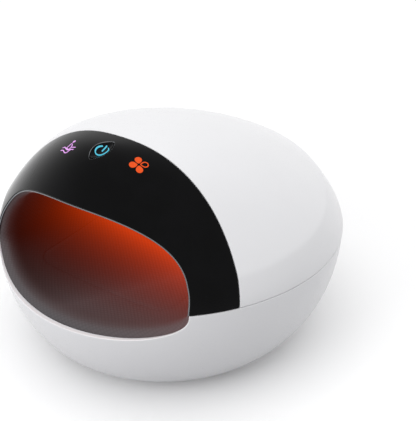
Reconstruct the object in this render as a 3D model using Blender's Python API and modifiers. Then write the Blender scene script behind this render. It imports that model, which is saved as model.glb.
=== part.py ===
"""A hand massager: a round housing whose mouth takes a hand, with pads on air cells and a warm light inside.

The origin lies on the surface that it stands on, under the middle of the housing. +Z is up, and the mouth
faces -Y. All sizes are in metres.
"""

import math

import bmesh
import bpy
from mathutils import Matrix, Vector

# Clearances and common walls
GAP = 0.0003
RUNNING_GAP = 0.0001
WALL = 0.0025
OVERLAP = 0.001
OVERRUN = 0.010

# The housing, seen from above and from the side
HALF_WIDTH = 0.100
HALF_DEPTH = 0.106
PLAN_EXPONENT = 1.948
FOOT_PROUD = 0.0025
BOWL_HEIGHT = 0.0655
BOWL_REACH = 0.0932
BOWL_EXPONENT = 2.271
BELT_REACH = 0.0490
BELT_EXPONENT = 1.4
CREASE_HEIGHT = 0.0188
CREASE_TILT = 0.0088
CREASE_BOW = 0.0035
DOME_HEIGHT = 0.0657
APEX_SHARE = -0.502
APEX_Y = APEX_SHARE * HALF_DEPTH
DOME_PLAN_EXPONENT = 2.118
DOME_EXPONENT = 1.0

# The visor's rear edge: its place in the middle, and its lean and sweep as shares
VISOR_EDGE_SHARE = -0.509
VISOR_EDGE_Y = VISOR_EDGE_SHARE * HALF_DEPTH
VISOR_LEAN_SHARE = 0.124
VISOR_BOW_SHARE = 0.100
VISOR_SWEEP_SHARE = 0.257

# The mouth, and the tunnel that runs back from it
MOUTH_HALF_WIDTH = 0.0656
MOUTH_RISE = 0.0437
MOUTH_DROP = 0.0171
ARCH_EXPONENT = 2.126
SILL_EXPONENT = 2.763
TRIM_THICKNESS = 0.0018
TRIM_DEPTH = 0.005
TUNNEL_WALL = 0.0020
TUNNEL_STRAIGHT_SHARE = -0.566
TUNNEL_STRAIGHT_Y = TUNNEL_STRAIGHT_SHARE * HALF_DEPTH
TUNNEL_BACK_SHARE = 0.547
TUNNEL_BACK_Y = TUNNEL_BACK_SHARE * HALF_DEPTH
BACK_WIDTH_SHARE = 0.85
BACK_RISE_SHARE = 0.84
BACK_DROP_SHARE = 0.85
LINER_THICKNESS = 0.0015

# The upper stack: pad, heating film, press plate and air cell, in a box over the tunnel
ROOF_PAD_HALF_WIDTH = 0.031
ROOF_PAD_FRONT_SHARE = -0.519
ROOF_PAD_FRONT_Y = ROOF_PAD_FRONT_SHARE * HALF_DEPTH
ROOF_PAD_BACK_SHARE = 0.038
ROOF_PAD_BACK_Y = ROOF_PAD_BACK_SHARE * HALF_DEPTH
ROOF_PAD_CORNER = 0.010
ROOF_PAD_LEAST = 0.0022
FILM_THICKNESS = 0.0005
PRESS_PLATE_THICKNESS = 0.0016
UPPER_CELL_HEIGHT = 0.0026
STACK_WALL = 0.0013

# The lower stack: pad, plate with nubs and air cell, in a well under the tunnel
FLOOR_PAD_HALF_WIDTH = 0.046
FLOOR_PAD_FRONT_SHARE = -0.660
FLOOR_PAD_FRONT_Y = FLOOR_PAD_FRONT_SHARE * HALF_DEPTH
FLOOR_PAD_BACK_SHARE = 0.283
FLOOR_PAD_BACK_Y = FLOOR_PAD_BACK_SHARE * HALF_DEPTH
FLOOR_PAD_CORNER = 0.012
FLOOR_PAD_LEAST = 0.0030
MASSAGE_PLATE_THICKNESS = 0.0020
NUB_HEIGHT = 0.0020
NUB_RADIUS = 0.0045
NUB_COLUMNS = 4
NUB_ROWS = 4
LOWER_CELL_HEIGHT = 0.0050
WELL_WALL = 0.0018
CELL_MARGIN = 0.003

# The warm light over the mouth
LIGHT_HALF_WIDTH = 0.020
LIGHT_SHARE = -0.675
LIGHT_LENGTH = 0.007
LIGHT_FRONT_Y = LIGHT_SHARE * HALF_DEPTH
LIGHT_BACK_Y = LIGHT_FRONT_Y + LIGHT_LENGTH
LIGHT_LENS_LEAST = 0.0025
LIGHT_BOARD_THICKNESS = 0.0010

# The control panel under the visor
PANEL_SHARE = -0.580
PANEL_Y = PANEL_SHARE * HALF_DEPTH
ICON_SPACING = 0.0219
ICON_SETBACK = 0.0019
BUTTON_HALF_WIDTH = 0.0048
BUTTON_HALF_LENGTH = 0.0079
BUTTON_THICKNESS = 0.0046
BUTTON_TRAVEL = 0.0005
FLANGE_THICKNESS = 0.0008
FLANGE_REACH = 0.0067
FLANGE_HALF_LENGTH = 0.0030
DISH_DEPTH = 0.0018
DISH_RISE = 0.0019
DISH_LENGTH_SHARE = 1.2
SYMBOL_RADIUS = 0.0036
SYMBOL_STROKE = 0.0008
SYMBOL_GAP_DEGREES = 34.0
SYMBOL_BASE_RADIUS = 0.0044
SYMBOL_BASE_THICKNESS = 0.0008
STEM_RADIUS = 0.0016
ICON_RADIUS = 0.0047
ICON_CORE_SHARE = 0.28
CONTROL_BOARD_DEPTH = 0.0107
CONTROL_BOARD_HALF_WIDTH = 0.0255
CONTROL_BOARD_HALF_LENGTH = 0.0110
CONTROL_BOARD_THICKNESS = 0.0012
BOARD_POST_SPREAD = 0.018
BOARD_POST_RADIUS = 0.0022
SWITCH_SIDE = 0.006
SWITCH_HEIGHT = 0.0031
PLUNGER_RADIUS = 0.0017
PLUNGER_PROUD = 0.0010
PLUNGER_SUNK = 0.0012

# The feet, the posts over them and the screws through both
FOOT_RADIUS = 0.007
FOOT_SUNK = 0.0012
FRONT_FOOT_X_SHARE = 0.54
FRONT_FOOT_Y_SHARE = -0.33
REAR_FOOT_X_SHARE = 0.48
REAR_FOOT_Y_SHARE = 0.405
POST_RADIUS = 0.0048
POST_TOP_BELOW_PARTING = 0.030
PILLAR_TOP_BELOW_PARTING = 0.002
SCREW_SHANK_RADIUS = 0.0015
SCREW_HEAD_RADIUS = 0.0028
SCREW_HEAD_HEIGHT = 0.0018
SCREW_HOLD = 0.009
SCREW_CEILING = 0.0015
PILOT_CLEARANCE = 0.0002

# The ears that hold the upper shell
EAR_THICKNESS = 0.003
EAR_RADIUS = 0.0055
EAR_ABOVE_PARTING = 0.001
SIDE_EAR_X_SHARE = 0.785
SIDE_EAR_Y_SHARE = -0.04
REAR_EAR_X_SHARE = 0.34
REAR_EAR_Y_SHARE = 0.685
SHELL_POST_RADIUS = 0.0038

# The air pump
MOTOR_RADIUS = 0.012
MOTOR_LENGTH = 0.030
MOTOR_BACK_X = 0.010
PUMP_SHARE = 0.132
PUMP_Y = PUMP_SHARE * HALF_DEPTH
PUMP_ABOVE_FLOOR = 0.0025
HEAD_SIDE = 0.027
HEAD_LENGTH = 0.018
HEAD_CAVITY_RADIUS = 0.0075
HEAD_CAVITY_DEPTH = 0.009
NOZZLE_RADIUS = 0.0018
NOZZLE_LENGTH = 0.003
NOZZLE_INSET = 0.0045
SHAFT_RADIUS = 0.0012
SHAFT_SUNK = 0.010
ECCENTRIC_RADIUS = 0.0045
ECCENTRIC_LENGTH = 0.005
ECCENTRIC_OFFSET = 0.0015
ECCENTRIC_STAND_OFF = 0.0015
CRADLE_THICKNESS = 0.003

# The two valves and the manifold behind them
VALVE_WIDTH = 0.012
VALVE_LENGTH = 0.022
VALVE_HEIGHT = 0.013
VALVE_FRONT_SHARE = 0.302
VALVE_FRONT_Y = VALVE_FRONT_SHARE * HALF_DEPTH
VALVE_NEAR_X = 0.016
VALVE_PITCH = 0.016
VALVE_ABOVE_FLOOR = 0.003
VALVE_PLUNGER_RADIUS = 0.0020
VALVE_PLUNGER_PROUD = 0.0030
VALVE_PLUNGER_SUNK = 0.0060
VALVE_TRAVEL = 0.0010
SADDLE_THICKNESS = 0.003
MANIFOLD_DEPTH = 0.007
MANIFOLD_HEIGHT = 0.011

# The air hoses and the cable to the panel
HOSE_RADIUS = 0.0018
CABLE_RADIUS = 0.0012
SPIGOT_RADIUS = 0.0011
SPIGOT_PROUD = 0.003

# The battery
CELL_RADIUS = 0.0092
CELL_LENGTH = 0.065
BATTERY_PITCH = 0.020
BATTERY_SHARE = -0.377
BATTERY_Y = BATTERY_SHARE * HALF_DEPTH
BATTERY_FLOOR = 0.0015
HOLDER_WALL = 0.0020
HOLDER_SIDE_HEIGHT = 0.011

# The main board
BOARD_THICKNESS = 0.0016
MAIN_BOARD_LEFT_X = -0.060
MAIN_BOARD_RIGHT_X = -0.008
MAIN_BOARD_FRONT_Y = -0.008
MAIN_BOARD_BACK_Y = 0.037
BOARD_ABOVE_FLOOR = 0.006
BOARD_POST_INSET = 0.006
SMALL_POST_RADIUS = 0.0025
CHIP_SIDE = 0.009
CHIP_HEIGHT = 0.0015
COIL_RADIUS = 0.0045
COIL_HEIGHT = 0.0060
SOCKET_BLOCK_WIDTH = 0.010
SOCKET_BLOCK_LENGTH = 0.005
SOCKET_BLOCK_HEIGHT = 0.006

# The charging inlet at the back
INLET_BELOW_PARTING = 0.042
INLET_HALF_WIDTH = 0.0045
INLET_HALF_HEIGHT = 0.0017
INLET_SHELL = 0.0004
INLET_LENGTH = 0.0080
INLET_SUNK = 0.0006
INLET_BOARD_HALF_WIDTH = 0.009
INLET_BOARD_LENGTH = 0.018
INLET_BOARD_SETBACK = 0.0055
INLET_POST_SPREAD = 0.006

# How finely round shapes are divided
HOUSING_SEGMENTS = 44
DOME_ROWS = 9
BELT_ROWS = 4
BOWL_ROWS = 7
OUTLINE_SEGMENTS = 40
ROUND_SEGMENTS = 16
SMALL_SEGMENTS = 8

PARTING_Z = FOOT_PROUD + BOWL_HEIGHT
FLOOR_Z = FOOT_PROUD + WALL


# Scene and collections


def clear_scene():
    for item in list(bpy.data.objects):
        bpy.data.objects.remove(item, do_unlink=True)


def new_collection(name):
    collection = bpy.data.collections.new(name)
    bpy.context.scene.collection.children.link(collection)
    return collection


clear_scene()
PARTS = new_collection("hand_massager")
CUTTERS = new_collection("cutters")


# Materials


def material(name, colour, roughness, metallic=0.0, transmission=0.0):
    made = bpy.data.materials.new(name)
    made.use_nodes = True
    shader = made.node_tree.nodes["Principled BSDF"]
    shader.inputs["Base Color"].default_value = (*colour, 1.0)
    shader.inputs["Roughness"].default_value = roughness
    shader.inputs["Metallic"].default_value = metallic
    shader.inputs["Transmission Weight"].default_value = transmission
    made.diffuse_color = (*colour, 1.0)
    return made


WHITE_SHELL = material("white_shell", (0.86, 0.86, 0.88), 0.28)
BLACK_VISOR = material("black_visor", (0.010, 0.010, 0.011), 0.12)
SILVER_TRIM = material("silver_trim", (0.52, 0.53, 0.55), 0.25, metallic=0.9)
INNER_PLASTIC = material("inner_plastic", (0.08, 0.08, 0.085), 0.55)
LINER_FABRIC = material("liner_fabric", (0.055, 0.055, 0.060), 0.90)
CELL_FILM = material("cell_film", (0.20, 0.21, 0.22), 0.45)
PLATE_PLASTIC = material("plate_plastic", (0.70, 0.70, 0.68), 0.50)
FILM_COPPER = material("film_copper", (0.45, 0.20, 0.08), 0.40)
WARM_LENS = material("warm_lens", (0.95, 0.16, 0.03), 0.25, transmission=0.6)
CYAN_GUIDE = material("cyan_guide", (0.10, 0.60, 0.78), 0.25)
LILAC_GUIDE = material("lilac_guide", (0.80, 0.38, 0.90), 0.25)
ORANGE_GUIDE = material("orange_guide", (0.90, 0.11, 0.03), 0.25)
BOARD_GREEN = material("board_green", (0.02, 0.16, 0.08), 0.45)
SWITCH_STEEL = material("switch_steel", (0.55, 0.55, 0.55), 0.35, metallic=1.0)
SWITCH_BLACK = material("switch_black", (0.03, 0.03, 0.03), 0.50)
STEEL = material("steel", (0.56, 0.57, 0.58), 0.30, metallic=1.0)
BRASS = material("brass", (0.62, 0.44, 0.16), 0.30, metallic=1.0)
PUMP_PLASTIC = material("pump_plastic", (0.30, 0.31, 0.33), 0.50)
VALVE_PLASTIC = material("valve_plastic", (0.78, 0.78, 0.76), 0.50)
HOSE_SILICONE = material("hose_silicone", (0.75, 0.76, 0.76), 0.40)
CABLE_JACKET = material("cable_jacket", (0.35, 0.03, 0.03), 0.50)
CELL_WRAP = material("cell_wrap", (0.05, 0.20, 0.42), 0.35)
FOOT_RUBBER = material("foot_rubber", (0.16, 0.16, 0.17), 0.85)


# Making objects


def mesh_object(name, mesh, collection, finish=None):
    item = bpy.data.objects.new(name, mesh)
    collection.objects.link(item)
    if collection is CUTTERS:
        item.hide_render = True
        item.display_type = "WIRE"
    if finish:
        mesh.materials.clear()
        mesh.materials.append(finish)
    return item


def from_bmesh(name, shape, collection, finish=None, smooth_degrees=None):
    mesh = bpy.data.meshes.new(name)
    shape.to_mesh(mesh)
    shape.free()
    if smooth_degrees:
        mesh.shade_smooth()
        mesh.set_sharp_from_angle(angle=math.radians(smooth_degrees))
    return mesh_object(name, mesh, collection, finish)


def add_box(shape, low, high):
    """Adds a box between two corners."""
    low, high = Vector(low), Vector(high)
    size = Matrix.Diagonal((*(high - low), 1.0))
    place = Matrix.Translation((low + high) / 2) @ size
    bmesh.ops.create_cube(shape, size=1.0, matrix=place)


def add_cylinder(shape, start, end, radius, segments=ROUND_SEGMENTS):
    """Adds a cylinder between two points."""
    start, end = Vector(start), Vector(end)
    run = end - start
    turn = run.to_track_quat("Z", "Y").to_matrix().to_4x4()
    place = Matrix.Translation((start + end) / 2) @ turn
    bmesh.ops.create_cone(
        shape,
        cap_ends=True,
        segments=segments,
        radius1=radius,
        radius2=radius,
        depth=run.length,
        matrix=place,
    )


def box_object(name, low, high, collection, finish=None):
    shape = bmesh.new()
    add_box(shape, low, high)
    return from_bmesh(name, shape, collection, finish)


def cylinder_object(name, start, end, radius, collection, finish=None, segments=ROUND_SEGMENTS):
    shape = bmesh.new()
    add_cylinder(shape, start, end, radius, segments)
    return from_bmesh(name, shape, collection, finish, smooth_degrees=40)


def turned_object(name, profile, place, collection, finish=None, segments=ROUND_SEGMENTS):
    """Turns a profile of (radius, height) points, listed from top to bottom, about the Z axis of place."""
    shape = bmesh.new()
    corners = [shape.verts.new((radius, 0.0, height)) for radius, height in profile]
    for upper, lower in zip(corners, corners[1:]):
        shape.edges.new((upper, lower))
    item = from_bmesh(name, shape, collection, finish)
    turn = item.modifiers.new("turn", "SCREW")
    turn.steps = segments
    turn.render_steps = segments
    turn.use_merge_vertices = True
    turn.merge_threshold = GAP / 10
    turn.use_smooth_shade = False
    item.matrix_world = place
    return item


def prism_object(name, points, low, high, place, collection, finish=None):
    """Makes a flat outline in the XY plane of place into a prism from height low to height high."""
    curve = bpy.data.curves.new(name, "CURVE")
    curve.dimensions = "2D"
    curve.fill_mode = "BOTH"
    curve.extrude = (high - low) / 2
    line = curve.splines.new("POLY")
    line.points.add(len(points) - 1)
    for point, (x, y) in zip(line.points, points):
        point.co = (x, y, 0.0, 1.0)
    line.use_cyclic_u = True
    guide = bpy.data.objects.new(name, curve)
    CUTTERS.objects.link(guide)
    bpy.context.view_layer.update()
    seen = guide.evaluated_get(bpy.context.evaluated_depsgraph_get())
    mesh = bpy.data.meshes.new_from_object(seen)
    bpy.data.objects.remove(guide, do_unlink=True)
    bpy.data.curves.remove(curve)
    shape = bmesh.new()
    shape.from_mesh(mesh)
    bpy.data.meshes.remove(mesh)
    bmesh.ops.remove_doubles(shape, verts=shape.verts, dist=GAP / 100)
    bmesh.ops.translate(shape, verts=shape.verts, vec=(0.0, 0.0, (low + high) / 2))
    bmesh.ops.recalc_face_normals(shape, faces=shape.faces)
    item = from_bmesh(name, shape, collection, finish)
    item.matrix_world = place
    return item


def loft_object(name, rings, collection, finish=None, tip=None, open_first=False, smooth_degrees=30):
    """Skins closed rings of points, listed in order, and ends in a flat cap or in a tip point."""
    shape = bmesh.new()
    rows = [[shape.verts.new(point) for point in ring] for ring in rings]
    count = len(rows[0])
    for lower, upper in zip(rows, rows[1:]):
        for here in range(count):
            there = (here + 1) % count
            shape.faces.new((lower[here], lower[there], upper[there], upper[here]))
    if tip is not None:
        peak = shape.verts.new(tip)
        for here in range(count):
            shape.faces.new((rows[-1][here], rows[-1][(here + 1) % count], peak))
    else:
        shape.faces.new(rows[-1])
    if not open_first:
        shape.faces.new(list(reversed(rows[0])))
    bmesh.ops.remove_doubles(shape, verts=shape.verts, dist=GAP / 100)
    if not open_first:
        bmesh.ops.recalc_face_normals(shape, faces=shape.faces)
    return from_bmesh(name, shape, collection, finish, smooth_degrees)


def tube_object(name, points, radius, finish, collection=None):
    """Runs a round tube along a smooth curve through the points."""
    curve = bpy.data.curves.new(name, "CURVE")
    curve.dimensions = "3D"
    curve.bevel_depth = radius
    curve.bevel_resolution = 1
    curve.use_fill_caps = True
    route = smooth_route([Vector(point) for point in points])
    line = curve.splines.new("POLY")
    line.points.add(len(route) - 1)
    for point, place in zip(line.points, route):
        point.co = (*place, 1.0)
    guide = bpy.data.objects.new(name, curve)
    CUTTERS.objects.link(guide)
    bpy.context.view_layer.update()
    seen = guide.evaluated_get(bpy.context.evaluated_depsgraph_get())
    mesh = bpy.data.meshes.new_from_object(seen)
    bpy.data.objects.remove(guide, do_unlink=True)
    bpy.data.curves.remove(curve)
    shape = bmesh.new()
    shape.from_mesh(mesh)
    bpy.data.meshes.remove(mesh)
    bmesh.ops.remove_doubles(shape, verts=shape.verts, dist=GAP / 100)
    bmesh.ops.recalc_face_normals(shape, faces=shape.faces)
    return from_bmesh(name, shape, collection or PARTS, finish, smooth_degrees=50)


def smooth_route(knots, steps=4):
    """Reads points from a smooth curve through the knots. Its first and last runs stay straight."""
    first, last = knots[0], knots[-1]
    inner = knots[1:-1]
    lead = (inner[0] - first).normalized() * (inner[1] - inner[0]).length
    tail = (last - inner[-1]).normalized() * (inner[-1] - inner[-2]).length
    ends = [inner[1] - 2 * lead, *inner, inner[-2] + 2 * tail]
    route = [first, inner[0]]
    for before, start, end, after in zip(ends, ends[1:], ends[2:], ends[3:]):
        for step in range(1, steps + 1):
            t = step / steps
            route.append(
                (
                    2 * start
                    + (end - before) * t
                    + (2 * before - 5 * start + 4 * end - after) * t**2
                    + (3 * start - before - 3 * end + after) * t**3
                )
                / 2
            )
    route.append(last)
    return route


# Changing objects


def solidify(item, thickness):
    wall = item.modifiers.new("wall", "SOLIDIFY")
    wall.thickness = thickness
    wall.offset = -1.0
    wall.use_even_offset = True
    wall.use_quality_normals = True


def boolean(item, other, operation):
    step = item.modifiers.new(operation.lower(), "BOOLEAN")
    step.object = other
    step.operation = operation
    step.solver = "EXACT"


def cut(item, *others):
    for other in others:
        boolean(item, other, "DIFFERENCE")


def join(item, *others):
    for other in others:
        boolean(item, other, "UNION")


def keep_within(item, other):
    boolean(item, other, "INTERSECT")


# The housing's surface


def signed_power(value, power):
    return math.copysign(abs(value) ** power, value)


def plan_point(angle, half_width, half_depth):
    """A point of the housing's outline seen from above. An angle of zero points to +X."""
    power = 2 / PLAN_EXPONENT
    x = half_width * signed_power(math.cos(angle), power)
    y = half_depth * signed_power(math.sin(angle), power)
    return x, y


def bowl_share(height):
    """How wide the bowl is at a height under the parting line, as a share of its full width."""
    return math.sqrt(1 - (max(-height, 0.0) / BOWL_REACH) ** BOWL_EXPONENT)


def crease_share(height):
    """How wide the crease is where it has a height above the parting line."""
    return math.sqrt(1 - (height / BELT_REACH) ** 2)


def belt_share(height, crease):
    """How wide the belt is at a height, under a crease of its own height."""
    climb = max(height, 0.0) / crease
    return 1 - (1 - crease_share(crease)) * climb**BELT_EXPONENT


def crease_height(depth_share):
    return CREASE_HEIGHT + CREASE_TILT * depth_share + CREASE_BOW * depth_share**2


def dome_rise(share):
    """How high the dome stands at a share of the way out to the crease."""
    return (1 - min(share, 1.0) ** DOME_PLAN_EXPONENT) ** (1 / DOME_EXPONENT)


def ring_angles():
    return [2 * math.pi * (step + 0.5) / HOUSING_SEGMENTS for step in range(HOUSING_SEGMENTS)]


def side_ring(height, inset=0.0):
    """A level ring of the bowl, at a height counted from the parting line."""
    share = bowl_share(height)
    ring = []
    for angle in ring_angles():
        x, y = plan_point(angle, HALF_WIDTH - inset, HALF_DEPTH - inset)
        ring.append(Vector((x * share, y * share, PARTING_Z + height)))
    return ring


def crease_point(angle, inset=0.0):
    x, y = plan_point(angle, HALF_WIDTH, HALF_DEPTH)
    height = crease_height(y / HALF_DEPTH)
    share = crease_share(height)
    x, y = plan_point(angle, HALF_WIDTH - inset, HALF_DEPTH - inset)
    return Vector((x * share, y * share, PARTING_Z + height))


def belt_ring(share_up, foot_height, inset=0.0):
    """A ring of the belt, at a share of the way from its foot up to the crease."""
    ring = []
    for angle in ring_angles():
        crease = crease_point(angle, inset)
        height = foot_height + (crease.z - PARTING_Z - foot_height) * share_up
        share = belt_share(height, crease.z - PARTING_Z)
        x, y = plan_point(angle, HALF_WIDTH - inset, HALF_DEPTH - inset)
        ring.append(Vector((x * share, y * share, PARTING_Z + height)))
    return ring


def dome_ring(share_out, inset=0.0):
    ring = []
    apex = PARTING_Z + DOME_HEIGHT - inset
    for angle in ring_angles():
        crease = crease_point(angle, inset)
        x = crease.x * share_out
        y = crease.y * share_out + APEX_Y * (1 - share_out)
        ring.append(Vector((x, y, crease.z + (apex - crease.z) * dome_rise(share_out))))
    return ring


def upper_rings(foot_height, inset=0.0):
    """All rings from the foot of the belt to the last one under the dome's top."""
    rings = [belt_ring(step / BELT_ROWS, foot_height, inset) for step in range(BELT_ROWS + 1)]
    for row in range(1, DOME_ROWS):
        rings.append(dome_ring(math.cos(math.pi / 2 * row / DOME_ROWS), inset))
    return rings


def lower_rings(top_height, bottom_height, inset=0.0):
    """All rings from the bowl's bottom up to its rim."""
    rings = []
    for row in range(BOWL_ROWS + 1):
        share = 1 - (1 - row / BOWL_ROWS) ** 1.3
        rings.append(side_ring(-bottom_height + (bottom_height + top_height) * share, inset))
    return rings


def apex_point(inset=0.0):
    return Vector((0.0, APEX_Y, PARTING_Z + DOME_HEIGHT - inset))


def dome_z(x, y):
    """The height of the dome's surface over a point of the plan."""
    low, high = 0.001, 1.0
    for _ in range(40):
        share = (low + high) / 2
        out_x = x / share
        out_y = APEX_Y + (y - APEX_Y) / share
        side = crease_share(crease_height(out_y / HALF_DEPTH))
        reach = (abs(out_x) / (HALF_WIDTH * side)) ** PLAN_EXPONENT
        reach += (abs(out_y) / (HALF_DEPTH * side)) ** PLAN_EXPONENT
        if reach > 1:
            low = share
        else:
            high = share
    foot = PARTING_Z + crease_height(out_y / HALF_DEPTH)
    return foot + (PARTING_Z + DOME_HEIGHT - foot) * dome_rise(share)


def upper_skin(name, finish):
    """The housing's wall above the parting line."""
    rings = upper_rings(-OVERLAP)
    item = loft_object(name, rings, PARTS, finish, tip=apex_point(), open_first=True)
    solidify(item, WALL)
    keep_within(item, ABOVE_PARTING)
    return item


def upper_core(name, inset):
    """The space inside the upper housing, clear of its skin by the inset."""
    return loft_object(name, upper_rings(GAP / 2, inset), CUTTERS, tip=apex_point(inset))


def lower_core(name, inset):
    """The space inside the bowl, clear of its skin by the inset."""
    return loft_object(name, lower_rings(-GAP / 2, BOWL_HEIGHT - inset, inset), CUTTERS)


# Outlines


def mouth_outline(half_width, rise, drop, full=True):
    """The mouth seen from the front, about the parting line: the arch from the right, then the sill."""
    count = OUTLINE_SEGMENTS if full else OUTLINE_SEGMENTS // 2 + 1
    points = []
    for step in range(count):
        angle = 2 * math.pi * step / OUTLINE_SEGMENTS
        above = math.sin(angle) >= -0.0001
        power = 2 / (ARCH_EXPONENT if above else SILL_EXPONENT)
        reach = rise if above else drop
        x = half_width * signed_power(math.cos(angle), power)
        z = reach * signed_power(math.sin(angle), power)
        points.append((x, z))
    return points


def rounded_outline(low_x, high_x, low_y, high_y, corner, steps=5):
    points = []
    centres = (
        (high_x - corner, low_y + corner, -90),
        (high_x - corner, high_y - corner, 0),
        (low_x + corner, high_y - corner, 90),
        (low_x + corner, low_y + corner, 180),
    )
    for x, y, start in centres:
        for step in range(steps + 1):
            angle = math.radians(start + 90 * step / steps)
            points.append((x + corner * math.cos(angle), y + corner * math.sin(angle)))
    return points


def oval_outline(half_width, half_length, count=ROUND_SEGMENTS + 8):
    return [
        (
            half_width * math.cos(2 * math.pi * step / count),
            half_length * math.sin(2 * math.pi * step / count),
        )
        for step in range(count)
    ]


def grown(points, distance):
    """Moves every side of a counter-clockwise outline outwards by the distance."""
    moved = []
    count = len(points)
    for here in range(count):
        before, point, after = (Vector(points[(here + step) % count]) for step in (-1, 0, 1))
        first = (point - before).normalized()
        second = (after - point).normalized()
        first_out = Vector((first.y, -first.x))
        second_out = Vector((second.y, -second.x))
        middle = (first_out + second_out).normalized()
        reach = distance / max(middle.dot(first_out), 0.5)
        moved.append(tuple(point + middle * reach))
    return moved


def almond_outline(half_width, half_length, steps=9):
    """An almond with its two points to the front and the rear."""
    points = []
    for side in (1, -1):
        for step in range(steps):
            share = 2 * step / steps - 1
            points.append((side * half_width * (1 - share**2) ** 0.8, side * half_length * share))
    return points


def tunnel_half_width(y):
    """Half the tunnel's inner width at a depth."""
    return MOUTH_HALF_WIDTH * (1 - tunnel_share(y) * (1 - BACK_WIDTH_SHARE))


def tunnel_share(y):
    """How far the tunnel has narrowed at a depth, from zero at the mouth to one at its back."""
    t = (y - TUNNEL_STRAIGHT_Y) / (TUNNEL_BACK_Y - TUNNEL_STRAIGHT_Y)
    t = min(max(t, 0.0), 1.0)
    return t * t * (3 - 2 * t)


def tunnel_ring(y, offset):
    """A ring of the tunnel's inner surface at a depth, moved outwards by the offset."""
    t = tunnel_share(y)
    half_width = MOUTH_HALF_WIDTH * (1 - t * (1 - BACK_WIDTH_SHARE)) + offset
    rise = MOUTH_RISE * (1 - t * (1 - BACK_RISE_SHARE)) + offset
    drop = MOUTH_DROP * (1 - t * (1 - BACK_DROP_SHARE)) + offset
    return [Vector((x, y, PARTING_Z + z)) for x, z in mouth_outline(half_width, rise, drop)]


def tunnel_solid(name, offset, back_offset, collection=None, finish=None):
    """The tunnel's space as a solid, from in front of the housing to its back wall."""
    front = -HALF_DEPTH - OVERRUN - offset
    back = TUNNEL_BACK_Y + back_offset
    depths = [front, TUNNEL_STRAIGHT_Y]
    for share in (0.25, 0.5, 0.75):
        depths.append(TUNNEL_STRAIGHT_Y + (TUNNEL_BACK_Y - TUNNEL_STRAIGHT_Y) * share)
    depths.append(back)
    rings = [tunnel_ring(y, offset) for y in depths]
    return loft_object(name, rings, collection or CUTTERS, finish)


def upright():
    """A frame whose XY plane is the front view, so that a prism's height runs towards +Y."""
    return Matrix(((1, 0, 0, 0), (0, 0, 1, 0), (0, 1, 0, PARTING_Z), (0, 0, 0, 1)))


# Shared cutters


def visor_zone(name, back_off):
    """Everything in front of the visor's rear edge, which is moved forward by back_off."""
    reach = HALF_WIDTH + OVERRUN
    steps = 32
    points = []
    for step in range(steps + 1):
        x = reach * (2 * step / steps - 1)
        share = x / HALF_WIDTH
        sweep = HALF_WIDTH * (VISOR_BOW_SHARE * share**2 - VISOR_SWEEP_SHARE * share**4)
        points.append((x, VISOR_EDGE_Y + sweep - back_off))
    front = -HALF_DEPTH - OVERRUN
    points += [(reach, front), (-reach, front)]
    low = -OVERRUN
    high = DOME_HEIGHT + OVERRUN
    lean = Matrix.Identity(4)
    lean[1][2] = VISOR_LEAN_SHARE
    place = Matrix.Translation((0.0, 0.0, PARTING_Z)) @ lean
    zone = prism_object(name, points, low, high, Matrix.Identity(4), CUTTERS)
    zone.data.transform(place)
    return zone


def mouth_prism(name, grow):
    outline = mouth_outline(MOUTH_HALF_WIDTH + grow, MOUTH_RISE + grow, MOUTH_DROP + grow)
    low = -HALF_DEPTH - OVERRUN
    high = TUNNEL_STRAIGHT_Y + 2 * OVERRUN
    return prism_object(name, outline, low, high, upright(), CUTTERS)


def level_box(name, low_z, high_z):
    reach_x, reach_y = HALF_WIDTH + OVERRUN, HALF_DEPTH + OVERRUN
    return box_object(name, (-reach_x, -reach_y, low_z), (reach_x, reach_y, high_z), CUTTERS)


ABOVE_PARTING = level_box("above_parting", PARTING_Z + GAP / 2, PARTING_Z + DOME_HEIGHT + OVERRUN)
BELOW_PARTING = level_box("below_parting", -OVERRUN, PARTING_Z - GAP / 2)
MOUTH = mouth_prism("mouth_cutter", 0.0)
VISOR_SIDE = visor_zone("visor_zone", GAP)
SHELL_SIDE = visor_zone("shell_zone", 0.0)
UPPER_SPACE = upper_core("upper_space", WALL + 3 * GAP)
LOWER_SPACE = lower_core("lower_space", WALL + 3 * GAP)
TRIM_SPACE = upper_core("trim_space", TRIM_DEPTH)
UPPER_SOLID = upper_core("upper_solid", 0.0)
POST_SPACE = lower_core("post_space", WALL / 2)
UPPER_POST_SPACE = upper_core("upper_post_space", WALL / 2)
LINED_UPPER_SPACE = upper_core("lined_upper_space", TRIM_DEPTH + 3 * GAP)
LINED_LOWER_SPACE = lower_core("lined_lower_space", WALL + 3 * GAP)
TUNNEL_SPACE = tunnel_solid("tunnel_space", 0.0, 0.0)
HAND_SPACE = tunnel_solid("hand_space", -GAP - LINER_THICKNESS, -GAP - LINER_THICKNESS)


# Heights of the two stacks, all from the tunnel's surfaces

HAND_TOP_Z = PARTING_Z + MOUTH_RISE - GAP - LINER_THICKNESS
ROOF_PAD_TOP_Z = HAND_TOP_Z + ROOF_PAD_LEAST
FILM_Z = ROOF_PAD_TOP_Z + GAP
PRESS_PLATE_Z = FILM_Z + FILM_THICKNESS + GAP
UPPER_CELL_Z = PRESS_PLATE_Z + PRESS_PLATE_THICKNESS + GAP
STACK_ROOF_Z = UPPER_CELL_Z + UPPER_CELL_HEIGHT + GAP

HAND_BOTTOM_Z = PARTING_Z - MOUTH_DROP + GAP + LINER_THICKNESS
FLOOR_PAD_BOTTOM_Z = HAND_BOTTOM_Z - FLOOR_PAD_LEAST
MASSAGE_PLATE_Z = FLOOR_PAD_BOTTOM_Z - GAP - NUB_HEIGHT - MASSAGE_PLATE_THICKNESS
LOWER_CELL_Z = MASSAGE_PLATE_Z - GAP - LOWER_CELL_HEIGHT
WELL_FLOOR_Z = LOWER_CELL_Z - GAP


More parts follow.
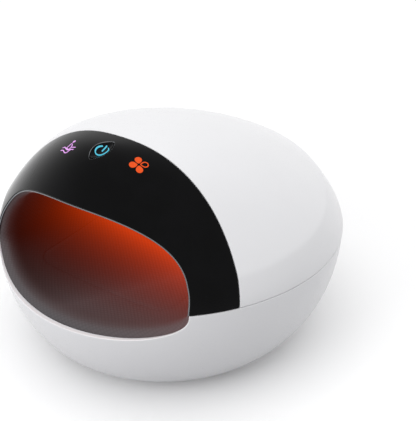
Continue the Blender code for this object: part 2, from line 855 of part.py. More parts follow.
def roof_outline(grow):
    return rounded_outline(
        -ROOF_PAD_HALF_WIDTH - grow,
        ROOF_PAD_HALF_WIDTH + grow,
        ROOF_PAD_FRONT_Y - grow,
        ROOF_PAD_BACK_Y + grow,
        ROOF_PAD_CORNER + grow,
    )


def floor_outline(grow):
    return rounded_outline(
        -FLOOR_PAD_HALF_WIDTH - grow,
        FLOOR_PAD_HALF_WIDTH + grow,
        FLOOR_PAD_FRONT_Y - grow,
        FLOOR_PAD_BACK_Y + grow,
        FLOOR_PAD_CORNER + grow,
    )


FLAT = Matrix.Identity(4)


# Places of the feet, posts and ears


def both_sides(x, y):
    return [(-x, y), (x, y)]


FOOT_PLACES = both_sides(FRONT_FOOT_X_SHARE * HALF_WIDTH, FRONT_FOOT_Y_SHARE * HALF_DEPTH)
FOOT_PLACES += both_sides(REAR_FOOT_X_SHARE * HALF_WIDTH, REAR_FOOT_Y_SHARE * HALF_DEPTH)
EAR_PLACES = both_sides(SIDE_EAR_X_SHARE * HALF_WIDTH, SIDE_EAR_Y_SHARE * HALF_DEPTH)
EAR_PLACES += both_sides(REAR_EAR_X_SHARE * HALF_WIDTH, REAR_EAR_Y_SHARE * HALF_DEPTH)
POST_TOP_Z = PARTING_Z - POST_TOP_BELOW_PARTING
EAR_Z = PARTING_Z + EAR_ABOVE_PARTING
PILOT_RADIUS = SCREW_SHANK_RADIUS + PILOT_CLEARANCE
SCREW_SEAT_Z = FOOT_PROUD + FOOT_SUNK + GAP + SCREW_HEAD_HEIGHT + GAP

# Places on the floor of the bowl

MOTOR_AXIS_Z = FLOOR_Z + PUMP_ABOVE_FLOOR + HEAD_SIDE / 2
HEAD_X = MOTOR_BACK_X + MOTOR_LENGTH + GAP
VALVE_Z = FLOOR_Z + VALVE_ABOVE_FLOOR
VALVE_XS = (VALVE_NEAR_X, VALVE_NEAR_X + VALVE_PITCH)
MANIFOLD_LEFT_X = VALVE_XS[0] - VALVE_WIDTH / 2
MANIFOLD_RIGHT_X = VALVE_XS[1] + VALVE_WIDTH / 2
MANIFOLD_FRONT_Y = VALVE_FRONT_Y + VALVE_LENGTH + GAP
MANIFOLD_TOP_Z = VALVE_Z + MANIFOLD_HEIGHT
MANIFOLD_NOZZLE_Y = MANIFOLD_FRONT_Y + MANIFOLD_DEPTH / 2
MANIFOLD_NOZZLE_XS = (
    MANIFOLD_LEFT_X + NOZZLE_INSET,
    (MANIFOLD_LEFT_X + MANIFOLD_RIGHT_X) / 2,
    MANIFOLD_RIGHT_X - NOZZLE_INSET,
)
PUMP_NOZZLE = Vector(
    (
        HEAD_X + 1.5 * NOZZLE_RADIUS,
        PUMP_Y + HEAD_SIDE / 2 + NOZZLE_LENGTH,
        MOTOR_AXIS_Z + HEAD_SIDE / 4,
    )
)
BOARD_Z = FLOOR_Z + BOARD_ABOVE_FLOOR
BATTERY_BACK_Y = BATTERY_Y + BATTERY_PITCH / 2 + CELL_RADIUS + GAP + HOLDER_WALL
INLET_Z = PARTING_Z - INLET_BELOW_PARTING
INLET_Y = HALF_DEPTH * bowl_share(-INLET_BELOW_PARTING) - INLET_SUNK
INLET_BOARD_Z = INLET_Z - INLET_HALF_HEIGHT - GAP - BOARD_THICKNESS
INLET_BOARD_FRONT_Y = INLET_Y - INLET_BOARD_SETBACK - INLET_BOARD_LENGTH
INLET_POST_Y = INLET_BOARD_FRONT_Y + BOARD_POST_INSET


def main_board_posts():
    xs = (MAIN_BOARD_LEFT_X + BOARD_POST_INSET, MAIN_BOARD_RIGHT_X - BOARD_POST_INSET)
    ys = (MAIN_BOARD_FRONT_Y + BOARD_POST_INSET, MAIN_BOARD_BACK_Y - BOARD_POST_INSET)
    return [(x, y) for x in xs for y in ys]


# The outer shells


def make_lower_shell():
    rings = lower_rings(OVERLAP, BOWL_HEIGHT)
    rings.reverse()
    flipped = [list(reversed(ring)) for ring in rings]
    shell = loft_object("lower_shell", flipped, PARTS, WHITE_SHELL, open_first=True)
    solidify(shell, WALL)
    keep_within(shell, BELOW_PARTING)

    posts = bmesh.new()
    for x, y in FOOT_PLACES:
        add_cylinder(posts, (x, y, FLOOR_Z - OVERLAP), (x, y, POST_TOP_Z), POST_RADIUS)
    for x, y in main_board_posts():
        top = BOARD_Z - GAP
        add_cylinder(posts, (x, y, FLOOR_Z - OVERLAP), (x, y, top), SMALL_POST_RADIUS, SMALL_SEGMENTS)
    for x in (-INLET_POST_SPREAD, INLET_POST_SPREAD):
        top = INLET_BOARD_Z - GAP
        start = (x, INLET_POST_Y, FLOOR_Z - OVERLAP)
        add_cylinder(posts, start, (x, INLET_POST_Y, top), SMALL_POST_RADIUS, SMALL_SEGMENTS)
    for x in (MOTOR_BACK_X + CRADLE_THICKNESS, HEAD_X - 2 * CRADLE_THICKNESS):
        low = (x, PUMP_Y - MOTOR_RADIUS, FLOOR_Z - OVERLAP)
        high = (x + CRADLE_THICKNESS, PUMP_Y + MOTOR_RADIUS, MOTOR_AXIS_Z - MOTOR_RADIUS / 2)
        add_box(posts, low, high)
    for x in VALVE_XS:
        for y in (VALVE_FRONT_Y, VALVE_FRONT_Y + VALVE_LENGTH - SADDLE_THICKNESS):
            low = (x - VALVE_WIDTH / 2, y, FLOOR_Z - OVERLAP)
            high = (x + VALVE_WIDTH / 2, y + SADDLE_THICKNESS, VALVE_Z - GAP)
            add_box(posts, low, high)
    low = (VALVE_XS[0], MANIFOLD_FRONT_Y + GAP, FLOOR_Z - OVERLAP)
    high = (VALVE_XS[1], MANIFOLD_FRONT_Y + SADDLE_THICKNESS, VALVE_Z - GAP)
    add_box(posts, low, high)
    post_set = from_bmesh("lower_posts", posts, CUTTERS)
    keep_within(post_set, POST_SPACE)
    join(shell, post_set)

    recess_top = FOOT_PROUD + FOOT_SUNK + GAP
    recesses, heads, shanks = bmesh.new(), bmesh.new(), bmesh.new()
    for x, y in FOOT_PLACES:
        shank = SCREW_SHANK_RADIUS + GAP
        head = SCREW_HEAD_RADIUS + GAP
        add_cylinder(recesses, (x, y, -OVERRUN), (x, y, recess_top), FOOT_RADIUS + GAP)
        add_cylinder(heads, (x, y, recess_top - GAP), (x, y, SCREW_SEAT_Z), head, SMALL_SEGMENTS)
        start, end = (x, y, SCREW_SEAT_Z - GAP), (x, y, POST_TOP_Z + OVERRUN)
        add_cylinder(shanks, start, end, shank, SMALL_SEGMENTS)
    cut(shell, from_bmesh("foot_recesses", recesses, CUTTERS))
    cut(shell, from_bmesh("head_bores", heads, CUTTERS))
    cut(shell, from_bmesh("shank_bores", shanks, CUTTERS))
    start = (MOTOR_BACK_X - OVERRUN, PUMP_Y, MOTOR_AXIS_Z)
    end = (HEAD_X, PUMP_Y, MOTOR_AXIS_Z)
    cradle = cylinder_object("cradle_cutter", start, end, MOTOR_RADIUS + GAP, CUTTERS)
    inlet = prism_object(
        "inlet_cutter",
        rounded_outline(
            -INLET_HALF_WIDTH - GAP,
            INLET_HALF_WIDTH + GAP,
            -INLET_HALF_HEIGHT - GAP,
            INLET_HALF_HEIGHT + GAP,
            INLET_HALF_HEIGHT,
        ),
        INLET_Y - INLET_LENGTH,
        INLET_Y + OVERRUN,
        Matrix.Translation((0.0, 0.0, INLET_Z - PARTING_Z)) @ upright(),
        CUTTERS,
    )
    cut(shell, cradle, MOUTH, inlet)
    return shell


def make_upper_shell():
    shell = upper_skin("upper_shell", WHITE_SHELL)
    cut(shell, SHELL_SIDE)
    posts = bmesh.new()
    holes = bmesh.new()
    for x, y in EAR_PLACES:
        foot = EAR_Z + EAR_THICKNESS + GAP
        top = dome_z(x, y)
        add_cylinder(posts, (x, y, foot), (x, y, top), SHELL_POST_RADIUS)
        hole_top = foot + SCREW_HOLD
        add_cylinder(holes, (x, y, foot - OVERRUN), (x, y, hole_top), PILOT_RADIUS, SMALL_SEGMENTS)
    post_set = from_bmesh("shell_posts", posts, CUTTERS)
    keep_within(post_set, UPPER_POST_SPACE)
    join(shell, post_set)
    cut(shell, from_bmesh("shell_pilots", holes, CUTTERS))
    return shell


# The control panel's frame: its origin on the dome at the button, its Z axis along the dome's normal


def panel_tilt():
    step = BUTTON_HALF_LENGTH
    rise = dome_z(0.0, PANEL_Y + step) - dome_z(0.0, PANEL_Y - step)
    return math.atan2(rise, 2 * step)


PANEL = Matrix.Translation((0.0, PANEL_Y, dome_z(0.0, PANEL_Y))) @ Matrix.Rotation(panel_tilt(), 4, "X")
SWITCH_Z = -CONTROL_BOARD_DEPTH
PLUNGER_Z = SWITCH_Z + SWITCH_HEIGHT
STEM_END_Z = PLUNGER_Z + PLUNGER_PROUD + GAP


def panel_at(x):
    """The panel's frame, moved sideways and set on the dome there."""
    drop = dome_z(x, PANEL_Y + ICON_SETBACK) - dome_z(0.0, PANEL_Y + ICON_SETBACK)
    return PANEL @ Matrix.Translation((x, ICON_SETBACK, drop))


def heat_outline():
    """Four rounded petals on the diagonals, which meet in the middle."""
    count = 48
    points = []
    for step in range(count):
        angle = 2 * math.pi * step / count
        lobe = abs(math.sin(2 * angle)) ** 0.6
        radius = ICON_RADIUS * (ICON_CORE_SHARE + (1 - ICON_CORE_SHARE) * lobe)
        points.append((radius * math.cos(angle), radius * math.sin(angle)))
    return points


# The hand icon's outline, as shares of the icon's radius
HAND_SHARES = (
    (-0.42, -1.00),
    (0.38, -1.00),
    (0.56, -0.45),
    (0.62, 0.10),
    (0.60, 0.62),
    (0.38, 0.66),
    (0.34, 0.92),
    (0.10, 1.00),
    (-0.14, 0.94),
    (-0.38, 0.70),
    (-0.42, 0.05),
    (-0.78, 0.22),
    (-0.90, 0.02),
    (-0.66, -0.40),
)


def hand_outline():
    return [(x_share * ICON_RADIUS, y_share * ICON_RADIUS) for x_share, y_share in HAND_SHARES]


def symbol_strokes(shape_name, grow, low, high):
    """The power symbol's open ring and bar, as one cutter or one pair of strokes."""
    half = SYMBOL_STROKE / 2 + grow
    gap_angle = math.radians(SYMBOL_GAP_DEGREES) - grow / SYMBOL_RADIUS
    steps = 20
    start = math.pi / 2 + gap_angle
    sweep = 2 * math.pi - 2 * gap_angle
    outer, inner = [], []
    for step in range(steps + 1):
        angle = start + sweep * step / steps
        outer.append(((SYMBOL_RADIUS + half) * math.cos(angle), (SYMBOL_RADIUS + half) * math.sin(angle)))
        inner.append(((SYMBOL_RADIUS - half) * math.cos(angle), (SYMBOL_RADIUS - half) * math.sin(angle)))
    ring = prism_object(shape_name + "_ring", outer + inner[::-1], low, high, PANEL, CUTTERS)
    top = SYMBOL_RADIUS + half
    bar_points = [(-half, -grow), (half, -grow), (half, top), (-half, top)]
    bar = prism_object(shape_name + "_bar", bar_points, low, high, PANEL, CUTTERS)
    return ring, bar


def make_visor():
    visor = upper_skin("front_visor", BLACK_VISOR)
    keep_within(visor, VISOR_SIDE)
    cut(visor, MOUTH)
    low, high = -2 * OVERRUN, OVERRUN
    button_hole = grown(almond_outline(BUTTON_HALF_WIDTH, BUTTON_HALF_LENGTH), GAP)
    cut(visor, prism_object("button_hole", button_hole, low, high, PANEL, CUTTERS))
    hand_outer = grown(hand_outline(), GAP)
    heat_outer = grown(heat_outline(), GAP)
    hand = prism_object("hand_hole", hand_outer, low, high, panel_at(-ICON_SPACING), CUTTERS)
    heat = prism_object("heat_hole", heat_outer, low, high, panel_at(ICON_SPACING), CUTTERS)
    cut(visor, hand, heat)
    return visor


def make_light_guide(name, outline, x, finish):
    """A light guide that fills its hole in the visor and runs down to the control board."""
    place = panel_at(x)
    guide = upper_skin(name, finish)
    keep_within(guide, prism_object(name + "_prism", outline, -OVERRUN, OVERRUN, place, CUTTERS))
    drop = (place.inverted() @ PANEL).to_translation().z
    low = drop - CONTROL_BOARD_DEPTH + GAP
    foot = prism_object(
        name + "_foot",
        oval_outline(ICON_RADIUS * ICON_CORE_SHARE, ICON_RADIUS * ICON_CORE_SHARE, SMALL_SEGMENTS),
        low,
        -WALL + OVERLAP / 2,
        place,
        CUTTERS,
    )
    join(guide, foot)
    return guide


def make_dish():
    """The hollow that a fingertip finds on the button."""
    shape = bmesh.new()
    height = DISH_DEPTH + DISH_RISE
    length = BUTTON_HALF_LENGTH * DISH_LENGTH_SHARE
    size = Matrix.Diagonal((BUTTON_HALF_WIDTH, length, height, 1.0))
    lift = Matrix.Translation((0.0, 0.0, DISH_RISE))
    bmesh.ops.create_uvsphere(shape, u_segments=20, v_segments=11, radius=1.0, matrix=lift @ size)
    dish = from_bmesh("button_dish", shape, CUTTERS)
    dish.matrix_world = PANEL
    return dish


def make_button():
    dish = make_dish()
    outline = almond_outline(BUTTON_HALF_WIDTH, BUTTON_HALF_LENGTH)
    button = prism_object("power_button", outline, -BUTTON_THICKNESS, OVERRUN, PANEL, PARTS, BLACK_VISOR)
    keep_within(button, UPPER_SOLID)
    low = (-FLANGE_REACH, -FLANGE_HALF_LENGTH, -BUTTON_THICKNESS - GAP / 3)
    high = (FLANGE_REACH, FLANGE_HALF_LENGTH, FLANGE_THICKNESS - BUTTON_THICKNESS)
    flange = box_object("button_flange", low, high, CUTTERS)
    flange.matrix_world = PANEL
    join(button, flange)
    cut(button, dish)
    slots = symbol_strokes("symbol_slot", GAP, -OVERRUN, OVERRUN)
    cut(button, *slots)

    base_top = -BUTTON_THICKNESS - GAP - GAP / 3
    base_low = base_top - SYMBOL_BASE_THICKNESS
    foot = PANEL @ Vector((0.0, 0.0, base_low))
    head = PANEL @ Vector((0.0, 0.0, base_top))
    guide = cylinder_object("power_light_guide", foot, head, SYMBOL_BASE_RADIUS, PARTS, CYAN_GUIDE)
    strokes = symbol_strokes("symbol_stroke", 0.0, base_top - SYMBOL_BASE_THICKNESS / 2, 0.0)
    join(guide, *strokes)
    stem_end = PANEL @ Vector((0.0, 0.0, STEM_END_Z))
    stem_top = PANEL @ Vector((0.0, 0.0, base_low + SYMBOL_BASE_THICKNESS / 2))
    stem = cylinder_object("button_stem", stem_end, stem_top, STEM_RADIUS, CUTTERS, segments=SMALL_SEGMENTS)
    join(guide, stem)
    cut(guide, dish)
    return button, guide


def make_control_board():
    low = Vector((-CONTROL_BOARD_HALF_WIDTH, -CONTROL_BOARD_HALF_LENGTH, -CONTROL_BOARD_THICKNESS))
    high = Vector((CONTROL_BOARD_HALF_WIDTH, CONTROL_BOARD_HALF_LENGTH, 0.0))
    below = Vector((0.0, 0.0, SWITCH_Z - GAP))
    board = box_object("control_board", low + below, high + below, PARTS, BOARD_GREEN)
    board.matrix_world = PANEL

    half = SWITCH_SIDE / 2
    switch = box_object("tact_switch", (-half, -half, SWITCH_Z), (half, half, PLUNGER_Z), PARTS, SWITCH_STEEL)
    switch.matrix_world = PANEL
    bore_low = PANEL @ Vector((0.0, 0.0, PLUNGER_Z - PLUNGER_SUNK - BUTTON_TRAVEL - GAP))
    bore_high = PANEL @ Vector((0.0, 0.0, PLUNGER_Z + OVERRUN))
    bore_radius = PLUNGER_RADIUS + RUNNING_GAP
    cut(switch, cylinder_object("switch_bore", bore_low, bore_high, bore_radius, CUTTERS))

    low = PANEL @ Vector((0.0, 0.0, PLUNGER_Z - PLUNGER_SUNK))
    high = PANEL @ Vector((0.0, 0.0, PLUNGER_Z + PLUNGER_PROUD))
    cylinder_object("switch_plunger", low, high, PLUNGER_RADIUS, PARTS, SWITCH_BLACK)


def make_trim():
    """The bright arch round the upper edge of the mouth."""
    outer = mouth_outline(MOUTH_HALF_WIDTH - GAP, MOUTH_RISE - GAP, MOUTH_DROP, full=False)
    inner_grow = GAP + TRIM_THICKNESS
    inner = mouth_outline(MOUTH_HALF_WIDTH - inner_grow, MOUTH_RISE - inner_grow, MOUTH_DROP, full=False)
    points = [(outer[0][0], GAP / 2)] + outer[1:-1] + [(outer[-1][0], GAP / 2)]
    points += [(inner[-1][0], GAP / 2)] + inner[-2:0:-1] + [(inner[0][0], GAP / 2)]
    low = -HALF_DEPTH - OVERRUN
    trim = prism_object("mouth_trim", points, low, TUNNEL_STRAIGHT_Y, upright(), PARTS, SILVER_TRIM)
    keep_within(trim, UPPER_SOLID)
    cut(trim, TRIM_SPACE)


# The tunnel's two halves


def make_chamber_top():
    top = tunnel_solid("chamber_top", TUNNEL_WALL, TUNNEL_WALL, PARTS, INNER_PLASTIC)
    box_top = STACK_ROOF_Z + STACK_WALL
    roof = roof_outline(GAP + STACK_WALL)
    join(top, prism_object("stack_box", roof, PARTING_Z + OVERRUN, box_top, FLAT, CUTTERS))

    ears = bmesh.new()
    for x, y in EAR_PLACES:
        low, high = EAR_Z, EAR_Z + EAR_THICKNESS
        add_cylinder(ears, (x, y, low), (x, y, high), EAR_RADIUS)
    join(top, from_bmesh("ears", ears, CUTTERS))
    arms = bmesh.new()
    for x, y in EAR_PLACES:
        half = EAR_RADIUS * 0.8
        low, high = EAR_Z + GAP / 3, EAR_Z + EAR_THICKNESS - GAP / 3
        if abs(y) < abs(x):
            inner_x = math.copysign(tunnel_half_width(y) + TUNNEL_WALL / 2, x)
            add_box(arms, (min(x, inner_x), y - half, low), (max(x, inner_x), y + half, high))
        else:
            add_box(arms, (x - half, TUNNEL_BACK_Y + TUNNEL_WALL / 2, low), (x + half, y, high))
    join(top, from_bmesh("ear_arms", arms, CUTTERS))

    posts = bmesh.new()
    for side in (-1, 1):
        start = PANEL @ Vector((side * BOARD_POST_SPREAD, 0.0, SWITCH_Z - 2 * GAP - CONTROL_BOARD_THICKNESS))
        run = (PANEL @ Vector((side * BOARD_POST_SPREAD, 0.0, -1.0)) - start).normalized()
        end = start + run * ((start.z - STACK_ROOF_Z - STACK_WALL / 2) / -run.z)
        add_cylinder(posts, end, start, BOARD_POST_RADIUS, SMALL_SEGMENTS)
    join(top, from_bmesh("board_posts", posts, CUTTERS))

    cut(top, TUNNEL_SPACE)
    cut(top, prism_object("stack_hollow", roof_outline(GAP), PARTING_Z, STACK_ROOF_Z, FLAT, CUTTERS))
    low = (-LIGHT_HALF_WIDTH - GAP, LIGHT_FRONT_Y - GAP, PARTING_Z)
    high = (LIGHT_HALF_WIDTH + GAP, LIGHT_BACK_Y + GAP, STACK_ROOF_Z)
    cut(top, box_object("light_slot", low, high, CUTTERS))
    holes = bmesh.new()
    for x, y in EAR_PLACES:
        radius = SCREW_SHANK_RADIUS + GAP
        add_cylinder(holes, (x, y, EAR_Z - OVERRUN), (x, y, EAR_Z + OVERRUN), radius, SMALL_SEGMENTS)
    x, y, z = UPPER_SPIGOT
    start, end = (x - OVERRUN, y, z), (x + OVERRUN, y, z)
    add_cylinder(holes, start, end, SPIGOT_RADIUS + GAP, SMALL_SEGMENTS)
    cut(top, from_bmesh("chamber_holes", holes, CUTTERS))
    keep_within(top, UPPER_SPACE)
    return top


def make_chamber_base():
    base = tunnel_solid("chamber_base", TUNNEL_WALL, TUNNEL_WALL, PARTS, INNER_PLASTIC)
    well_low = WELL_FLOOR_Z - WELL_WALL
    outline = floor_outline(GAP + WELL_WALL)
    join(base, prism_object("well_box", outline, well_low, PARTING_Z - GAP, FLAT, CUTTERS))
    pillars = bmesh.new()
    for x, y in FOOT_PLACES:
        top = PARTING_Z - PILLAR_TOP_BELOW_PARTING
        add_cylinder(pillars, (x, y, POST_TOP_Z + GAP), (x, y, top), POST_RADIUS)
    join(base, from_bmesh("pillars", pillars, CUTTERS))
    cut(base, TUNNEL_SPACE)
    cut(base, prism_object("well_hollow", floor_outline(GAP), WELL_FLOOR_Z, PARTING_Z, FLAT, CUTTERS))
    holes = bmesh.new()
    for x, y in FOOT_PLACES:
        top = POST_TOP_Z + SCREW_HOLD + GAP
        add_cylinder(holes, (x, y, POST_TOP_Z - GAP), (x, y, top), PILOT_RADIUS, SMALL_SEGMENTS)
    x, y, z = LOWER_SPIGOT
    add_cylinder(holes, (x, y - OVERRUN, z), (x, y + OVERRUN, z), SPIGOT_RADIUS + GAP, SMALL_SEGMENTS)
    cut(base, from_bmesh("base_holes", holes, CUTTERS))
    keep_within(base, LOWER_SPACE)
    return base


def make_liner():
    """The fabric pocket, in an upper and a lower half with a window for each pad."""
    top = tunnel_solid("liner_top", -GAP, -GAP, PARTS, LINER_FABRIC)
    cut(top, HAND_SPACE)
    cut(top, prism_object("roof_window", roof_outline(GAP), PARTING_Z, STACK_ROOF_Z, FLAT, CUTTERS))
    low = (-LIGHT_HALF_WIDTH - GAP, LIGHT_FRONT_Y - GAP, PARTING_Z)
    high = (LIGHT_HALF_WIDTH + GAP, LIGHT_BACK_Y + GAP, STACK_ROOF_Z)
    cut(top, box_object("light_window", low, high, CUTTERS))
    keep_within(top, LINED_UPPER_SPACE)

    base = tunnel_solid("liner_base", -GAP, -GAP, PARTS, LINER_FABRIC)
    cut(base, HAND_SPACE)
    cut(base, prism_object("floor_window", floor_outline(GAP), WELL_FLOOR_Z, PARTING_Z, FLAT, CUTTERS))
    keep_within(base, LINED_LOWER_SPACE)
    return top, base


# The two stacks


def make_upper_stack():
    low = PARTING_Z + MOUTH_RISE * BACK_RISE_SHARE / 2
    pad = prism_object("roof_pad", roof_outline(0.0), low, ROOF_PAD_TOP_Z, FLAT, PARTS, LINER_FABRIC)
    cut(pad, HAND_SPACE)
    outline = roof_outline(-CELL_MARGIN / 2)
    prism_object("heating_film", outline, FILM_Z, FILM_Z + FILM_THICKNESS, FLAT, PARTS, FILM_COPPER)
    top = PRESS_PLATE_Z + PRESS_PLATE_THICKNESS
    prism_object("upper_press_plate", roof_outline(0.0), PRESS_PLATE_Z, top, FLAT, PARTS, PLATE_PLASTIC)
    top = UPPER_CELL_Z + UPPER_CELL_HEIGHT
    outline = roof_outline(-CELL_MARGIN)
    cell = prism_object("upper_air_cell", outline, UPPER_CELL_Z, top, FLAT, PARTS, CELL_FILM)
    x, y, z = UPPER_SPIGOT
    start = (ROOF_PAD_HALF_WIDTH - CELL_MARGIN - OVERLAP, y, z)
    spigot = cylinder_object("upper_spigot", start, (x, y, z), SPIGOT_RADIUS, CUTTERS, segments=SMALL_SEGMENTS)
    join(cell, spigot)


def make_lower_stack():
    top = PARTING_Z - GAP
    pad = prism_object("floor_pad", floor_outline(0.0), FLOOR_PAD_BOTTOM_Z, top, FLAT, PARTS, LINER_FABRIC)
    cut(pad, HAND_SPACE)
    trim = box_object(
        "pad_limit",
        (-HALF_WIDTH, -HALF_DEPTH, PARTING_Z - MOUTH_DROP * BACK_DROP_SHARE / 2),
        (HALF_WIDTH, HALF_DEPTH, PARTING_Z + OVERRUN),
        CUTTERS,
    )
    cut(pad, trim)
    plate_top = MASSAGE_PLATE_Z + MASSAGE_PLATE_THICKNESS
    outline = floor_outline(0.0)
    plate = prism_object("massage_plate", outline, MASSAGE_PLATE_Z, plate_top, FLAT, PARTS, PLATE_PLASTIC)
    nubs = bmesh.new()
    length = FLOOR_PAD_BACK_Y - FLOOR_PAD_FRONT_Y
    for column in range(NUB_COLUMNS):
        for row in range(NUB_ROWS):
            x = FLOOR_PAD_HALF_WIDTH * (2 * (column + 0.5) / NUB_COLUMNS - 1)
            y = FLOOR_PAD_FRONT_Y + length * (row + 0.5) / NUB_ROWS
            place = Matrix.Translation((x, y, plate_top - OVERLAP / 2 + (NUB_HEIGHT + OVERLAP / 2) / 2))
            bmesh.ops.create_cone(
                nubs,
                cap_ends=True,
                segments=SMALL_SEGMENTS,
                radius1=NUB_RADIUS,
                radius2=NUB_RADIUS / 2,
                depth=NUB_HEIGHT + OVERLAP / 2,
                matrix=place,
            )
    join(plate, from_bmesh("nubs", nubs, CUTTERS))
    top = LOWER_CELL_Z + LOWER_CELL_HEIGHT
    outline = floor_outline(-CELL_MARGIN)
    cell = prism_object("lower_air_cell", outline, LOWER_CELL_Z, top, FLAT, PARTS, CELL_FILM)
    x, y, z = LOWER_SPIGOT
    start = (x, FLOOR_PAD_BACK_Y - CELL_MARGIN - OVERLAP, z)
    spigot = cylinder_object("lower_spigot", start, (x, y, z), SPIGOT_RADIUS, CUTTERS, segments=SMALL_SEGMENTS)
    join(cell, spigot)


def make_warm_light():
    top = HAND_TOP_Z + LIGHT_LENS_LEAST
    low = (-LIGHT_HALF_WIDTH, LIGHT_FRONT_Y, HAND_TOP_Z - LIGHT_HALF_WIDTH / 2)
    lens = box_object("heat_light_lens", low, (LIGHT_HALF_WIDTH, LIGHT_BACK_Y, top), PARTS, WARM_LENS)
    cut(lens, HAND_SPACE)
    low = (-LIGHT_HALF_WIDTH, LIGHT_FRONT_Y, top + GAP)
    high = (LIGHT_HALF_WIDTH, LIGHT_BACK_Y, top + GAP + LIGHT_BOARD_THICKNESS)
    box_object("heat_light_board", low, high, PARTS, BOARD_GREEN)


# The pump, its rotor and the valves


def make_pump():
    start, end = (MOTOR_BACK_X, PUMP_Y, MOTOR_AXIS_Z), (HEAD_X - GAP, PUMP_Y, MOTOR_AXIS_Z)
    motor = cylinder_object("pump_motor", start, end, MOTOR_RADIUS, PARTS, STEEL)
    bore_start = (HEAD_X - SHAFT_SUNK - OVERLAP, PUMP_Y, MOTOR_AXIS_Z)
    bore_end = (HEAD_X + OVERRUN, PUMP_Y, MOTOR_AXIS_Z)
    bore = cylinder_object("motor_bore", bore_start, bore_end, SHAFT_RADIUS + RUNNING_GAP, CUTTERS)
    cut(motor, bore)

    half = HEAD_SIDE / 2
    low = (HEAD_X, PUMP_Y - half, MOTOR_AXIS_Z - half)
    high = (HEAD_X + HEAD_LENGTH, PUMP_Y + half, MOTOR_AXIS_Z + half)
    head = box_object("pump_head", low, high, PARTS, PUMP_PLASTIC)
    start = PUMP_NOZZLE - Vector((0.0, NOZZLE_LENGTH + OVERLAP, 0.0))
    nozzle = cylinder_object("pump_nozzle", start, PUMP_NOZZLE, NOZZLE_RADIUS, CUTTERS, segments=SMALL_SEGMENTS)
    join(head, nozzle)
    start = (HEAD_X - OVERRUN, PUMP_Y, MOTOR_AXIS_Z)
    end = (HEAD_X + HEAD_CAVITY_DEPTH, PUMP_Y, MOTOR_AXIS_Z)
    cut(head, cylinder_object("head_cavity", start, end, HEAD_CAVITY_RADIUS, CUTTERS))

    start = (HEAD_X - SHAFT_SUNK, PUMP_Y, MOTOR_AXIS_Z)
    end = (HEAD_X + ECCENTRIC_STAND_OFF + ECCENTRIC_LENGTH, PUMP_Y, MOTOR_AXIS_Z)
    rotor = cylinder_object("pump_rotor", start, end, SHAFT_RADIUS, PARTS, BRASS)
    z = MOTOR_AXIS_Z + ECCENTRIC_OFFSET
    start = (HEAD_X + ECCENTRIC_STAND_OFF, PUMP_Y, z)
    end = (HEAD_X + ECCENTRIC_STAND_OFF + ECCENTRIC_LENGTH + GAP, PUMP_Y, z)
    join(rotor, cylinder_object("eccentric", start, end, ECCENTRIC_RADIUS, CUTTERS))


def make_valve(name, x):
    half = VALVE_WIDTH / 2
    middle_z = VALVE_Z + VALVE_HEIGHT / 2
    low = (x - half, VALVE_FRONT_Y, VALVE_Z)
    high = (x + half, VALVE_FRONT_Y + VALVE_LENGTH, VALVE_Z + VALVE_HEIGHT)
    body = box_object(name + "_body", low, high, PARTS, VALVE_PLASTIC)
    start = (x, VALVE_FRONT_Y - OVERRUN, middle_z)
    end = (x, VALVE_FRONT_Y + VALVE_PLUNGER_SUNK + VALVE_TRAVEL + GAP, middle_z)
    bore_radius = VALVE_PLUNGER_RADIUS + RUNNING_GAP
    cut(body, cylinder_object(name + "_bore", start, end, bore_radius, CUTTERS))
    start = (x, VALVE_FRONT_Y - VALVE_PLUNGER_PROUD, middle_z)
    end = (x, VALVE_FRONT_Y + VALVE_PLUNGER_SUNK, middle_z)
    cylinder_object(name + "_plunger", start, end, VALVE_PLUNGER_RADIUS, PARTS, STEEL)


def make_manifold():
    """The block that shares the pump's air between the two valves, with three nozzles on top."""
    low = (MANIFOLD_LEFT_X, MANIFOLD_FRONT_Y, VALVE_Z)
    high = (MANIFOLD_RIGHT_X, MANIFOLD_FRONT_Y + MANIFOLD_DEPTH, MANIFOLD_TOP_Z)
    block = box_object("air_manifold", low, high, PARTS, PUMP_PLASTIC)
    nozzles = bmesh.new()
    for x in MANIFOLD_NOZZLE_XS:
        start = (x, MANIFOLD_NOZZLE_Y, MANIFOLD_TOP_Z - OVERLAP)
        end = (x, MANIFOLD_NOZZLE_Y, MANIFOLD_TOP_Z + NOZZLE_LENGTH)
        add_cylinder(nozzles, start, end, NOZZLE_RADIUS, SMALL_SEGMENTS)
    join(block, from_bmesh("manifold_nozzles", nozzles, CUTTERS))


# Where the air cells' spigots end
UPPER_SPIGOT = Vector(
    (
        ROOF_PAD_HALF_WIDTH + GAP + STACK_WALL + SPIGOT_PROUD,
        (ROOF_PAD_FRONT_Y + ROOF_PAD_BACK_Y) / 2,
        UPPER_CELL_Z + UPPER_CELL_HEIGHT / 2,
    )
)
SIDE_CHANNEL_X = (MOUTH_HALF_WIDTH + TUNNEL_WALL + HALF_WIDTH * crease_share(CREASE_HEIGHT) - WALL) / 2
LOWER_SPIGOT = Vector(
    (
        VALVE_XS[0],
        FLOOR_PAD_BACK_Y + GAP + WELL_WALL + SPIGOT_PROUD,
        LOWER_CELL_Z + LOWER_CELL_HEIGHT / 2,
    )
)


